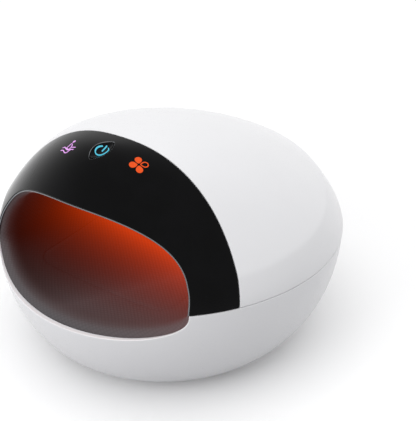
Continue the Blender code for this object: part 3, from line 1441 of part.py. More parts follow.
def make_hoses():
    run = Vector((0.0, 0.0, 2 * HOSE_RADIUS))
    tops = [Vector((x, MANIFOLD_NOZZLE_Y, MANIFOLD_TOP_Z + NOZZLE_LENGTH + GAP)) for x in MANIFOLD_NOZZLE_XS]

    end = LOWER_SPIGOT + Vector((0.0, GAP, 0.0))
    near = end + Vector((0.0, 2 * HOSE_RADIUS, 0.0))
    bend = Vector((near.x, MANIFOLD_NOZZLE_Y - 2 * HOSE_RADIUS, near.z - 2 * HOSE_RADIUS))
    points = [tops[0], tops[0] + run, bend, near, end]
    tube_object("air_hose_lower", points, HOSE_RADIUS, HOSE_SILICONE)

    start = PUMP_NOZZLE + Vector((0.0, GAP, 0.0))
    points = [
        start,
        start + Vector((0.0, 2 * HOSE_RADIUS, 0.0)),
        (start + tops[1]) / 2 + run,
        tops[1] + run,
        tops[1],
    ]
    tube_object("pump_hose", points, HOSE_RADIUS, HOSE_SILICONE)

    end = UPPER_SPIGOT + Vector((GAP, 0.0, 0.0))
    post_x, post_y = FOOT_PLACES[-1]
    points = [
        tops[2],
        tops[2] + run,
        Vector((post_x + POST_RADIUS, MANIFOLD_NOZZLE_Y, POST_TOP_Z)),
        Vector((SIDE_CHANNEL_X * 0.9, post_y * 0.85, (POST_TOP_Z + PARTING_Z) / 2)),
        Vector((SIDE_CHANNEL_X, post_y / 3, PARTING_Z)),
        Vector((SIDE_CHANNEL_X * 0.86, -EAR_RADIUS, PARTING_Z + MOUTH_RISE * 0.70)),
        end + Vector((4 * HOSE_RADIUS, 0.0, 0.0)),
        end,
    ]
    tube_object("air_hose_upper", points, HOSE_RADIUS, HOSE_SILICONE)


# The battery, the boards and the inlet


def make_battery():
    axis_z = FLOOR_Z + GAP + BATTERY_FLOOR + GAP + CELL_RADIUS
    half_length = CELL_LENGTH / 2
    ys = (BATTERY_Y - BATTERY_PITCH / 2, BATTERY_Y + BATTERY_PITCH / 2)
    for name, y in zip(("battery_cell_front", "battery_cell_rear"), ys):
        start, end = (-half_length, y, axis_z), (half_length, y, axis_z)
        cylinder_object(name, start, end, CELL_RADIUS, PARTS, CELL_WRAP)
    reach_x = half_length + GAP + HOLDER_WALL
    reach_y = BATTERY_PITCH / 2 + CELL_RADIUS + GAP + HOLDER_WALL
    low = (-reach_x, BATTERY_Y - reach_y, FLOOR_Z + GAP)
    high = (reach_x, BATTERY_Y + reach_y, FLOOR_Z + GAP + HOLDER_SIDE_HEIGHT)
    holder = box_object("battery_holder", low, high, PARTS, PUMP_PLASTIC)
    beds = bmesh.new()
    reach = half_length + GAP
    for y in ys:
        add_cylinder(beds, (-reach, y, axis_z), (reach, y, axis_z), CELL_RADIUS + GAP)
    bed_pair = from_bmesh("battery_beds", beds, CUTTERS)
    cut(holder, bed_pair)


def make_main_board():
    low = (MAIN_BOARD_LEFT_X, MAIN_BOARD_FRONT_Y, BOARD_Z)
    high = (MAIN_BOARD_RIGHT_X, MAIN_BOARD_BACK_Y, BOARD_Z + BOARD_THICKNESS)
    board = box_object("main_board", low, high, PARTS, BOARD_GREEN)
    middle_x = (MAIN_BOARD_LEFT_X + MAIN_BOARD_RIGHT_X) / 2
    middle_y = (MAIN_BOARD_FRONT_Y + MAIN_BOARD_BACK_Y) / 2
    half = CHIP_SIDE / 2
    foot = BOARD_Z + BOARD_THICKNESS - OVERLAP / 2
    top = BOARD_Z + BOARD_THICKNESS
    parts_on_board = bmesh.new()
    low = (middle_x - half, middle_y - half, foot)
    add_box(parts_on_board, low, (middle_x + half, middle_y + half, top + CHIP_HEIGHT))
    x = middle_x + 2 * CHIP_SIDE
    add_cylinder(parts_on_board, (x, middle_y, foot), (x, middle_y, top + COIL_HEIGHT), COIL_RADIUS)
    x = middle_x - CHIP_SIDE
    y = MAIN_BOARD_FRONT_Y + SOCKET_BLOCK_LENGTH
    high = (x + SOCKET_BLOCK_WIDTH, y + SOCKET_BLOCK_LENGTH, top + SOCKET_BLOCK_HEIGHT)
    add_box(parts_on_board, (x, y, foot), high)
    join(board, from_bmesh("board_parts", parts_on_board, CUTTERS))


def make_inlet():
    place = Matrix.Translation((0.0, 0.0, INLET_Z - PARTING_Z)) @ upright()
    outline = rounded_outline(
        -INLET_HALF_WIDTH, INLET_HALF_WIDTH, -INLET_HALF_HEIGHT, INLET_HALF_HEIGHT, INLET_HALF_HEIGHT * 0.95
    )
    back = INLET_Y - INLET_LENGTH
    socket = prism_object("charge_socket", outline, back, INLET_Y, place, PARTS, STEEL)
    half_width = INLET_HALF_WIDTH - INLET_SHELL
    half_height = INLET_HALF_HEIGHT - INLET_SHELL
    outline = rounded_outline(-half_width, half_width, -half_height, half_height, half_height * 0.95)
    hollow = prism_object("socket_hollow", outline, back + OVERLAP, INLET_Y + OVERRUN, place, CUTTERS)
    cut(socket, hollow)
    low = (-INLET_BOARD_HALF_WIDTH, INLET_BOARD_FRONT_Y, INLET_BOARD_Z)
    high = (INLET_BOARD_HALF_WIDTH, INLET_BOARD_FRONT_Y + INLET_BOARD_LENGTH, INLET_BOARD_Z + BOARD_THICKNESS)
    board = box_object("charge_board", low, high, PARTS, BOARD_GREEN)
    return socket, board


def make_cable():
    """The cable from the main board up the left side of the tunnel to the control board."""
    run = CABLE_RADIUS * 4
    top = BOARD_Z + BOARD_THICKNESS + GAP
    start = Vector((MAIN_BOARD_LEFT_X + 2 * BOARD_POST_INSET, MAIN_BOARD_FRONT_Y + 2 * BOARD_POST_INSET, top))
    underside = SWITCH_Z - GAP - CONTROL_BOARD_THICKNESS
    end_x = -CONTROL_BOARD_HALF_WIDTH * 0.86
    end_y = -CONTROL_BOARD_HALF_LENGTH * 0.6
    end = PANEL @ Vector((end_x, end_y, underside - GAP))
    points = [
        start,
        start + Vector((0.0, 0.0, run)),
        Vector((-SIDE_CHANNEL_X * 0.86, start.y * 0.5, POST_TOP_Z + run)),
        Vector((-SIDE_CHANNEL_X, -2 * EAR_RADIUS - run, PARTING_Z)),
        Vector((-SIDE_CHANNEL_X * 0.9, end.y / 2, PARTING_Z + MOUTH_RISE * 0.50)),
        Vector((-MOUTH_HALF_WIDTH * 0.80, end.y * 0.75, PARTING_Z + MOUTH_RISE * 0.83)),
        Vector((-MOUTH_HALF_WIDTH * 0.55, end.y, PARTING_Z + MOUTH_RISE)),
        PANEL @ Vector((end_x, end_y, underside - GAP - run / 2)),
        end,
    ]
    tube_object("panel_cable", points, CABLE_RADIUS, CABLE_JACKET)


def make_leads():
    """The battery's lead and the charging inlet's lead, both to the main board."""
    middle = BOARD_Z + BOARD_THICKNESS / 2
    rise = Vector((0.0, 0.0, 2 * CABLE_RADIUS))
    x = MAIN_BOARD_LEFT_X / 2
    back = Vector((0.0, 2 * CABLE_RADIUS, 0.0))
    start = Vector((x, BATTERY_BACK_Y + GAP, middle))
    end = Vector((x, MAIN_BOARD_FRONT_Y - GAP, middle))
    points = [start, start + back, (start + end) / 2 + rise, end - back, end]
    tube_object("battery_lead", points, CABLE_RADIUS, CABLE_JACKET)
    start = Vector((0.0, INLET_BOARD_FRONT_Y - GAP, INLET_BOARD_Z + BOARD_THICKNESS / 2))
    end = Vector((x / 2, MAIN_BOARD_BACK_Y + GAP, middle))
    points = [start, start - back, (start + end) / 2 + rise, end + back, end]
    tube_object("charge_lead", points, CABLE_RADIUS, CABLE_JACKET)


# The feet and the screws


def make_feet_and_screws():
    names = ("front_left", "front_right", "rear_left", "rear_right")
    for name, (x, y) in zip(names, FOOT_PLACES):
        place = Matrix.Translation((x, y, 0.0))
        rim = FOOT_SUNK / 2
        top = FOOT_PROUD + FOOT_SUNK
        profile = ((0.0, top), (FOOT_RADIUS, top), (FOOT_RADIUS, rim), (FOOT_RADIUS - rim, 0.0), (0.0, 0.0))
        turned_object("foot_" + name, profile, place, PARTS, FOOT_RUBBER)
        seat = SCREW_SEAT_Z - GAP
        tip = POST_TOP_Z + SCREW_HOLD
        make_screw("base_screw_" + name, x, y, seat, tip)
    names = ("side_left", "side_right", "rear_left", "rear_right")
    for name, (x, y) in zip(names, EAR_PLACES):
        tip = EAR_Z + EAR_THICKNESS + SCREW_HOLD - GAP
        make_screw("shell_screw_" + name, x, y, EAR_Z - GAP, tip)


def make_screw(name, x, y, seat, tip):
    """A screw driven upwards, with its head under the seat."""
    low = seat - SCREW_HEAD_HEIGHT
    socket = SCREW_SHANK_RADIUS / 2
    depth = SCREW_HEAD_HEIGHT / 2
    profile = (
        (0.0, tip),
        (SCREW_SHANK_RADIUS, tip - SCREW_SHANK_RADIUS),
        (SCREW_SHANK_RADIUS, seat),
        (SCREW_HEAD_RADIUS, seat),
        (SCREW_HEAD_RADIUS, low),
        (socket, low),
        (socket, low + depth),
        (0.0, low + depth),
    )
    turned_object(name, profile, Matrix.Translation((x, y, 0.0)), PARTS, STEEL, segments=SMALL_SEGMENTS)


def main():
    make_lower_shell()
    make_upper_shell()
    make_visor()
    make_trim()
    make_chamber_top()
    make_chamber_base()
    make_liner()
    make_upper_stack()
    make_lower_stack()
    make_warm_light()
    make_button()
    make_light_guide("massage_light_guide", hand_outline(), -ICON_SPACING, LILAC_GUIDE)
    make_light_guide("heat_light_guide", heat_outline(), ICON_SPACING, ORANGE_GUIDE)
    make_control_board()
    make_pump()
    make_valve("lower_valve", VALVE_XS[0])
    make_valve("upper_valve", VALVE_XS[1])
    make_manifold()
    make_hoses()
    make_battery()
    make_main_board()
    make_inlet()
    make_cable()
    make_leads()
    make_feet_and_screws()


main()
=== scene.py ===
"""The finished look of a hand massager, laid out as an add-on: each operator makes a piece or a group of like pieces.

The frame gives the places. Sizes are in metres, +Z is up, the mouth faces -Y, and +X is to the right from the front.
"""

import math

import bmesh
import bpy
import numpy as np
from bpy.props import FloatProperty, FloatVectorProperty, PointerProperty
from mathutils import Matrix, Vector


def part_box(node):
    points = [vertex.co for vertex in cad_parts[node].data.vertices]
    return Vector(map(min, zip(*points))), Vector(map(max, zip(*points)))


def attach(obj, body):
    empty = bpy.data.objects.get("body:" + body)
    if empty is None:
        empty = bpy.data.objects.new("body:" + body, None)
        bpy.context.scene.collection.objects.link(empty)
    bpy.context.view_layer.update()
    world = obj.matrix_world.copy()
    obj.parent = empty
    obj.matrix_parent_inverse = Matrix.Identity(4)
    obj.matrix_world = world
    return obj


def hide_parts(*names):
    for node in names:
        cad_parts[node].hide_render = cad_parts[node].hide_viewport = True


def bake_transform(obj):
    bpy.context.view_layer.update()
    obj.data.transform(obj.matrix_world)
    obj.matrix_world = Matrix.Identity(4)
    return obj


bl_info = {
    "name": "Hand Massager",
    "version": (1, 0, 0),
    "blender": (4, 5, 0),
    "location": "View3D > Sidebar > Massager",
    "description": "Makes a hand massager with a lit panel and a fabric-lined mouth",
    "category": "Add Mesh",
}

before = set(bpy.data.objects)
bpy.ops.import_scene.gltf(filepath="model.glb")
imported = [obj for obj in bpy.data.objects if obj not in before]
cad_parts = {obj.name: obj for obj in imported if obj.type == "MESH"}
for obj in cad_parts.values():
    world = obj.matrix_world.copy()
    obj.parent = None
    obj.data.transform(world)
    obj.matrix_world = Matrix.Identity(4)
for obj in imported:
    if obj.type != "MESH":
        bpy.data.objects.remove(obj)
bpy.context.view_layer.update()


def length(name, default, description):
    return FloatProperty(name=name, default=default, description=description, unit="LENGTH", precision=5)


def share(name, default, description):
    return FloatProperty(name=name, default=default, description=description, precision=4)


def angle(name, default, description):
    return FloatProperty(
        name=name, default=math.radians(default), description=description, unit="ROTATION", precision=5
    )


def colour(name, default, description):
    return FloatVectorProperty(
        name=name, default=default, description=description, subtype="COLOR", size=3, min=0.0, max=1.0
    )


# What a user would change


class HousingSizes(bpy.types.PropertyGroup):
    """The egg-shaped housing."""

    half_width: length("Half width", 0.100, "Half the housing's width at the parting line")
    half_depth: length("Half depth", 0.106, "Half the housing's depth at the parting line")
    plan_exponent: share("Plan exponent", 1.948, "How full the outline is, seen from above")
    parting_height: length("Parting height", 0.068, "Height of the line between the two halves")
    bowl_height: length("Bowl height", 0.0655, "From the parting line down to the base")
    bowl_reach: length("Bowl reach", 0.0932, "How far down the bowl's curve would close")
    bowl_exponent: share("Bowl exponent", 2.271, "How full the bowl is")
    base_radius: length("Base radius", 0.008, "Rounding between the bowl and its flat base")
    belt_reach: length("Belt reach", 0.0490, "How far up the belt's curve would close")
    belt_exponent: share("Belt exponent", 1.4, "How late the belt turns in")
    crease_height: length("Crease height", 0.0188, "Height of the crease over the parting line at the sides")
    crease_tilt: length("Crease tilt", 0.0088, "How much the crease climbs towards the back")
    crease_bow: length("Crease bow", 0.0035, "How much the crease climbs at both ends")
    crease_softness: length("Crease softness", 0.0004, "Rounding of the crease")
    dome_height: length("Dome height", 0.0657, "Height of the top over the parting line")
    apex_y: length("Apex place", -0.0532, "Where the top lies, from front to back")
    dome_plan_exponent: share("Dome plan exponent", 2.118, "How full the dome is in the middle")
    dome_exponent: share("Dome exponent", 1.0, "How full the dome is at its rim")
    wall: length("Wall", 0.0025, "Thickness of the shells")
    gap: length("Gap", 0.0003, "Gap between two shells")
    edge_radius: length("Edge radius", 0.00045, "Rounding of the shells' edges")


class VisorSizes(bpy.types.PropertyGroup):
    """The rear edge of the black visor."""

    edge_y: length("Edge place", -0.05395, "Where the rear edge lies at the parting line's height")
    lean: share("Lean", 0.124, "How much the rear edge leans back")
    bow: share("Bow", 0.100, "How much the rear edge bends back near the middle")
    sweep: share("Sweep", 0.257, "How much the rear edge bends forward at its ends")


class MouthSizes(bpy.types.PropertyGroup):
    """The mouth and the lined tunnel behind it."""

    half_width: length("Half width", 0.0656, "Half the mouth's width")
    rise: length("Rise", 0.0437, "Height of the arch over the parting line")
    drop: length("Drop", 0.0171, "Depth of the sill under the parting line")
    arch_exponent: share("Arch exponent", 2.126, "How full the arch is")
    sill_exponent: share("Sill exponent", 2.763, "How full the sill is")
    straight_y: length("Straight until", -0.060, "Where the tunnel starts to narrow")
    back_y: length("Back wall", 0.058, "Where the tunnel ends")
    back_width: share("Back width", 0.85, "Width at the back, as a share")
    back_rise: share("Back rise", 0.84, "Rise at the back, as a share")
    back_drop: share("Back drop", 0.85, "Drop at the back, as a share")
    cloth: length("Cloth thickness", 0.0012, "Thickness of the lining")
    cloth_inset: length("Cloth inset", 0.0019, "From the tunnel's wall to the lining's face")
    lip_depth: length("Lip depth", 0.0040, "How far the padded lip's front reaches back")
    lip_height: length("Lip height", 0.0033, "How far the padded lip stands in from the wall")
    lip_foot: length("Lip foot", 0.0003, "From the tunnel's wall to the lip's start")
    lip_fade: length("Lip fade", 0.011, "Distance over which the lip runs out")
    setback: length("Setback", 0.0028, "From the shell's edge back to the lip")
    back_radius: length("Back radius", 0.014, "Rounding between the tunnel and its back")
    trim_thickness: length("Trim thickness", 0.0008, "Thickness of the bright arch")
    trim_depth: length("Trim depth", 0.0024, "Depth of the bright arch")
    weave: length("Weave", 0.0017, "Distance between two meshes of the cloth")
    # Painted shade: the cloth's colour darkens to the left and into the tunnel, where shade falls
    painted_shade_across: share("Shade across", 43.0, "How fast the cloth darkens to the left")
    painted_shade_along: share("Shade along", 26.0, "How fast the cloth darkens into the tunnel")
    painted_shade_place: share("Shade place", 2.25, "How far in the cloth starts to darken")
    # Painted light: the cloth itself glows with the lens's warm light, strongest deep in and to the right
    painted_glow_across: share("Glow across", 8.8, "How fast the warm light grows to the right")
    painted_glow_along: share("Glow along", 50.8, "How fast the warm light grows into the tunnel")
    painted_glow_place: share("Glow place", 0.46, "How far out the warm light starts")
    painted_glow_limit: share("Glow limit", 0.60, "The strongest warm light on the cloth")


class PadSizes(bpy.types.PropertyGroup):
    """The two pads that press on the hand."""

    corner: length("Corner", 0.010, "Corner radius of a pad, seen from above")
    crown: length("Crown", 0.0001, "How far a pad stands proud of the lining")
    edge: length("Edge", 0.0002, "Rounding along a pad's edge")
    clearance: length("Clearance", 0.00006, "Between a pad and its window")
    cell: length("Cell", 0.002, "Side of one cell of the pad's cloth")
    swell: length("Swell", 0.0003, "The most that filling moves a point")


class PanelSizes(bpy.types.PropertyGroup):
    """The button and the lit icons on the visor."""

    place_y: length("Place", -0.06148, "Where the middle of the panel lies")
    spacing: length("Spacing", 0.0216, "From the button to an icon")
    symbol_proud: length("Symbol proud", 0.0005, "How far the power symbol stands over the hollow")
    massage_place: length("Massage place", -0.0209, "Where the massage icon lies, from left to right")
    massage_setback: length("Massage setback", -0.0020, "How far the massage icon lies behind the button")
    setback: length("Setback", 0.0011, "How far the icons lie behind the button's middle")
    turn: angle("Turn", 13.0, "How far the button's rear tip turns to the right")
    bezel: length("Bezel", 0.00035, "Width of the bright edge round the button")
    base_radius: length("Base radius", 0.0044, "Radius of the disc under the power symbol")
    button_half_width: length("Button half width", 0.0045, "Half the button's width")
    button_half_length: length("Button half length", 0.0073, "Half the button's length")
    button_depth: length("Button depth", 0.0046, "Thickness of the button")
    dish_depth: length("Dish depth", 0.0019, "Depth of the button's hollow")
    ring_radius: length("Ring radius", 0.0034, "Radius of the power symbol's open ring")
    stroke: length("Stroke", 0.00046, "Width of the power symbol's stroke")
    icon_radius: length("Icon radius", 0.0047, "Reach of an icon from its middle")
    icon_stroke: length("Icon stroke", 0.0005, "Width of an icon's line")
    proud: length("Proud", 0.00012, "How far an icon stands over the gloss")
    inlay: length("Inlay", 0.0006, "How deep an icon is set into the visor")


class Finishes(bpy.types.PropertyGroup):
    """Colours of the finishes."""

    shell: colour("Shell", (0.83, 0.83, 0.85), "White of the shells")
    visor: colour("Visor", (0.0015, 0.0015, 0.0018), "Black of the visor")
    trim: colour("Trim", (0.17, 0.175, 0.185), "Bright arch round the mouth")
    cloth: colour("Cloth", (0.060, 0.060, 0.064), "Cloth of the lining and the pads")
    # The lip's paler cloth with painted light: paler at the front where the roll faces the light, fading into the
    # tunnel
    edging: colour("Edging", (0.085, 0.085, 0.090), "Cloth of the padded lip")
    # Also the colour in which the cloth glows with painted warm light
    glow: colour("Glow", (1.0, 0.066, 0.003), "Warm light inside the mouth")
    power: colour("Power", (0.10, 0.55, 0.72), "Power symbol")
    massage: colour("Massage", (0.80, 0.38, 0.90), "Massage icon")
    heat: colour("Heat", (0.78, 0.085, 0.012), "Heat icon")


class StageSizes(bpy.types.PropertyGroup):
    """The camera, the light and the floor."""

    focal_pixels: share("Focal length", 750.0, "Focal length in pixels of a picture 416 pixels wide")
    azimuth: angle("Azimuth", 35.626, "How far the camera stands to the right of the front")
    elevation: angle("Elevation", 29.721, "How far the camera looks down")
    distance: length("Distance", 0.44949, "From the camera to the parting line's middle")
    pan: angle("Pan", 2.6236, "How far the camera turns to its right")
    tilt: angle("Tilt", 0.0761, "How far the camera turns up")
    floor_half: length("Floor half", 1.6, "Half the floor's side")
    floor: colour("Floor", (0.96, 0.96, 0.965), "Colour of the floor")
    floor_bounce: colour("Floor bounce", (0.42, 0.42, 0.43), "Colour that the floor throws onto the object")
    floor_lift: share("Floor lift", 0.06, "Brightness that the floor adds where it is seen")
    light: share("Light", 0.96, "Strength of all the light")
    front_lamp: share("Front lamp", 3.2, "Power of the lamp at the front left")


GROUPS = {
    "massager_housing": HousingSizes,
    "massager_visor": VisorSizes,
    "massager_mouth": MouthSizes,
    "massager_pads": PadSizes,
    "massager_panel": PanelSizes,
    "massager_finishes": Finishes,
    "massager_stage": StageSizes,
}
PICTURE_WIDTH = 416


def sizes(group):
    return getattr(bpy.context.scene, "massager_" + group)


# The housing's surface


def signed_power(value, power):
    return np.sign(value) * np.abs(value) ** power


def superellipse(angles, half_width, rise, drop, above, below):
    """The mouth seen from the front, counted from the right. Arrays of x and z about the parting line."""
    power = np.where(np.sin(angles) >= 0, 2 / above, 2 / below)
    reach = np.where(np.sin(angles) >= 0, rise, drop)
    return half_width * signed_power(np.cos(angles), power), reach * signed_power(np.sin(angles), power)


class Skin:
    """The housing's outer surface. Every point here is given as rows of x, y and z."""

    OUTLINE_POINTS = 1440
    STEPS = 34  # halvings on the way to the surface
    LONGEST = 0.20  # longer than any way inside the housing
    SOFT_POINTS = 8  # rays around each ray, which round the crease
    BOWL_END = 0.999  # keeps the bowl's curve from closing
    SLOPE = 0.8  # the bowl's wall leans, so a step outwards counts for less

    def __init__(self):
        s = self.s = sizes("housing")
        self.parting = s.parting_height
        angles = np.linspace(0.0, 2 * math.pi, self.OUTLINE_POINTS + 1)[:-1]
        x = s.half_width * signed_power(np.cos(angles), 2 / s.plan_exponent)
        y = s.half_depth * signed_power(np.sin(angles), 2 / s.plan_exponent)
        foot = self.crease_over(y / s.half_depth)
        width = self.crease_width(foot)
        away_x, away_y = x * width, y * width - s.apex_y
        bearing = np.arctan2(away_y, away_x)
        order = np.argsort(bearing)
        self.bearing = bearing[order]
        self.reach = np.hypot(away_x, away_y)[order]
        self.foot = foot[order]

    def crease_over(self, depth):
        return self.s.crease_height + self.s.crease_tilt * depth + self.s.crease_bow * depth**2

    def crease_width(self, height):
        """The crease's width at a height, as a share of the parting line's."""
        return np.sqrt(1 - (height / self.s.belt_reach) ** 2)

    def dome(self, x, y):
        """The dome's height over the parting line, and how far out a point is, from 0 to 1 at the crease."""
        away_y = y - self.s.apex_y
        bearing = np.arctan2(away_y, x)
        reach = np.interp(bearing, self.bearing, self.reach, period=2 * math.pi)
        foot = np.interp(bearing, self.bearing, self.foot, period=2 * math.pi)
        out = np.hypot(x, away_y) / reach
        rise = (1 - np.minimum(out, 1.0) ** self.s.dome_plan_exponent) ** (1 / self.s.dome_exponent)
        return foot + (self.s.dome_height - foot) * rise, out

    def inside(self, points):
        s = self.s
        x, y = points[..., 0], points[..., 1]
        height = points[..., 2] - self.parting
        width = (np.abs(x) / s.half_width) ** s.plan_exponent + (np.abs(y) / s.half_depth) ** s.plan_exponent
        width = np.maximum(width, 1e-12) ** (1 / s.plan_exponent)
        below = np.minimum(-height, s.bowl_reach * self.BOWL_END)
        bowl = np.sqrt(1 - (np.maximum(below, 0.0) / s.bowl_reach) ** s.bowl_exponent)
        side = (width - bowl) * s.half_width * self.SLOPE + s.base_radius
        under = -height - s.bowl_height + s.base_radius
        round_off = np.where((side > 0) & (under > 0), np.hypot(side, under), np.maximum(side, under))
        in_bowl = round_off < s.base_radius
        foot = self.crease_over(y / (width * s.half_depth))
        climb = np.clip(height / foot, 0.0, 1.0)
        belt = 1 - (1 - self.crease_width(foot)) * climb**s.belt_exponent
        in_belt = (height < foot) & (width < belt)
        top, out = self.dome(x, y)
        in_dome = (out < 1) & (height < top)
        return np.where(height <= 0, in_bowl, in_belt | in_dome)

    def furthest(self, shape, point_at):
        """The longest ways whose points still lie inside, found by halving."""
        near, far = np.zeros(shape), np.full(shape, self.LONGEST)
        for _ in range(self.STEPS):
            middle = (near + far) / 2
            within = self.inside(point_at(middle))
            near = np.where(within, middle, near)
            far = np.where(within, far, middle)
        return near

    def distances(self, centre, directions):
        """How far the surface is from the centre along each direction."""
        return self.furthest(directions.shape[:-1], lambda way: centre + directions * way[..., None])

    def project(self, points, centre, softness=0.0):
        """Moves points along rays from the centre onto the surface, whose crease is rounded by the softness."""
        rays = points - centre
        rays = rays / np.linalg.norm(rays, axis=-1, keepdims=True)
        far = self.distances(centre, rays)
        if softness:
            side = np.cross(rays, np.array([0.0, 0.0, 1.0]) + 0.01)
            side /= np.linalg.norm(side, axis=-1, keepdims=True)
            other = np.cross(rays, side)
            total = far.copy()
            for step in range(self.SOFT_POINTS):
                turn = 2 * math.pi * step / self.SOFT_POINTS
                lean = (side * math.cos(turn) + other * math.sin(turn)) * (softness / far)[..., None]
                tilted = rays + lean
                tilted /= np.linalg.norm(tilted, axis=-1, keepdims=True)
                total += self.distances(centre, tilted)
            far = total / (self.SOFT_POINTS + 1)
        return centre + rays * far[..., None]

    def front_at(self, x, height):
        """The point of the front over each x and height, seen from the front."""
        start = np.stack([x, np.zeros_like(x), self.parting + height], axis=-1)
        forward = np.broadcast_to(np.array([0.0, -1.0, 0.0]), start.shape)
        return start + forward * self.distances(start, forward)[..., None]

    def top_at(self, x, y):
        """The dome's point over each place of the plan."""
        x, y = np.broadcast_arrays(np.asarray(x, float), np.asarray(y, float))
        return np.stack([x, y, self.parting + self.dome(x, y)[0]], axis=-1)

    def visor_edge(self, angles, shift):
        """The visor's rear edge, by its angle in the front view, moved back by the shift."""
        v = sizes("visor")

        def point_at(way):
            x, height = way * np.cos(angles), way * np.sin(angles)
            part = x / self.s.half_width
            y = v.edge_y + shift + v.lean * height + self.s.half_width * (v.bow * part**2 - v.sweep * part**4)
            return np.stack([x, y, self.parting + height], axis=-1)

        return point_at(self.furthest(len(angles), point_at))


# Grids of points


def resample(line, places):
    """Reads points from a line at distances along it."""
    along = np.concatenate([[0.0], np.cumsum(np.linalg.norm(np.diff(line, axis=0), axis=1))])
    places = np.clip(np.asarray(places) * along[-1], 0.0, along[-1])
    return np.stack([np.interp(places, along, line[:, axis]) for axis in range(3)], axis=-1)


def line_length(line):
    return np.linalg.norm(np.diff(line, axis=0), axis=1).sum()


EDGE_SHARES = np.array([0.0, 0.134, 0.5, 1.0])
FINE = 161  # points along a side while a patch is laid out


def edge_places(total, count, radius):
    """Shares along a line: close together in the rounding at both ends, and even between."""
    near = EDGE_SHARES * radius / total
    middle = np.linspace(near[-1], 1 - near[-1], count + 1)[1:-1]
    return np.concatenate([near, middle, 1 - near[::-1]])


def edge_distances(count):
    """For the same places, how far each is from its end, as a share of the radius, at most 1."""
    return np.concatenate([EDGE_SHARES, np.ones(count - 1), EDGE_SHARES[::-1]])


def grid_normals(grid, centre):
    across = np.gradient(grid, axis=1)
    along = np.gradient(grid, axis=0)
    normals = np.cross(across, along)
    normals /= np.linalg.norm(normals, axis=-1, keepdims=True)
    sign = np.sign((normals * (grid - centre)).sum(axis=-1))
    return normals * sign[..., None]


def patch(skin, centre, front, rear, right, left, bulge, counts, radius):
    """Fills four lines on the surface with a grid: front and rear run from right to left, the sides backwards."""
    even = np.linspace(0.0, 1.0, FINE)
    front, rear, right, left = (resample(line, even) for line in (front, rear, right, left))
    u, v = even[None, :, None], even[:, None, None]
    grid = (1 - v) * front[None] + v * rear[None] + (1 - u) * right[:, None] + u * left[:, None]
    grid = grid - (1 - u) * (1 - v) * front[0] - u * (1 - v) * front[-1]
    grid = grid - (1 - u) * v * rear[0] - u * v * rear[-1]
    grid = grid + 16 * u * v * (1 - u) * (1 - v) * np.asarray(bulge)
    grid = skin.project(grid, centre)
    across, along = counts
    columns = [grid[:, column] for column in range(FINE)]
    grid = np.stack([resample(line, edge_places(line_length(line), along, radius)) for line in columns], axis=1)
    return np.stack([resample(line, edge_places(line_length(line), across, radius)) for line in grid])


def parting_arc(skin, centre, start, end):
    """A stretch of the parting line between two bearings in degrees."""
    turn = np.radians(np.linspace(start, end, FINE))
    points = centre + np.stack([np.cos(turn), np.sin(turn), np.zeros(FINE)], axis=-1)
    return skin.project(points, centre)


def bearing_of(point, centre):
    return math.degrees(math.atan2(point[1] - centre[1], point[0] - centre[0]))


# Making objects


def add_object(name, data):
    """Makes an object and puts it in the scene."""
    made = bpy.data.objects.new(name, data)
    bpy.context.scene.collection.objects.link(made)
    return made


def new_object(name, points, faces, finish, smooth=True):
    mesh = bpy.data.meshes.new(name)
    mesh.from_pydata([tuple(point) for point in points], [], faces)
    piece = add_object(name, mesh)
    mesh.materials.append(finish)
    mend(mesh)
    if smooth:
        mesh.shade_smooth()
    return piece


def drawn_object(name, shape, finish):
    """An object made from a finished bmesh."""
    mesh = bpy.data.meshes.new(name)
    shape.to_mesh(mesh)
    shape.free()
    mesh.materials.append(finish)
    return add_object(name, mesh)


def mend(mesh, weld=0.0):
    """Turns all faces outwards, after welding points that lie closer than a distance."""
    shape = bmesh.new()
    shape.from_mesh(mesh)
    if weld:
        bmesh.ops.remove_doubles(shape, verts=shape.verts, dist=weld)
    bmesh.ops.recalc_face_normals(shape, faces=shape.faces)
    shape.to_mesh(mesh)
    shape.free()


def grid_faces(rows, columns, start=0, closed=False, looped=False):
    """Quads between the points of a grid, listed row by row. Its rows may be closed, and the rows may form a loop."""
    faces = []
    for row in range(rows if looped else rows - 1):
        here, there = start + row * columns, start + (row + 1) % rows * columns
        for column in range(columns if closed else columns - 1):
            beside = (column + 1) % columns
            faces.append((here + column, here + beside, there + beside, there + column))
    return faces


def border(rows, columns):
    """The border of a grid, once round."""
    loop = [(0, column) for column in range(columns)]
    loop += [(row, columns - 1) for row in range(1, rows)]
    loop += [(rows - 1, column) for column in range(columns - 2, -1, -1)]
    loop += [(row, 0) for row in range(rows - 2, 0, -1)]
    return [row * columns + column for row, column in loop]


def double_faces(rows, columns):
    """The faces of two like grids, one over the other, joined along their borders."""
    count = rows * columns
    faces = grid_faces(rows, columns)
    faces += [tuple(reversed(face)) for face in grid_faces(rows, columns, count)]
    loop = border(rows, columns)
    faces += [(there, here, here + count, there + count) for here, there in zip(loop, loop[1:] + loop[:1])]
    return faces


STRAIGHT_ROWS = 9  # rows over which the wall's straight edge at the mouth runs out
STEEPEST = 0.3  # limits how far back that edge runs where the surface turns away


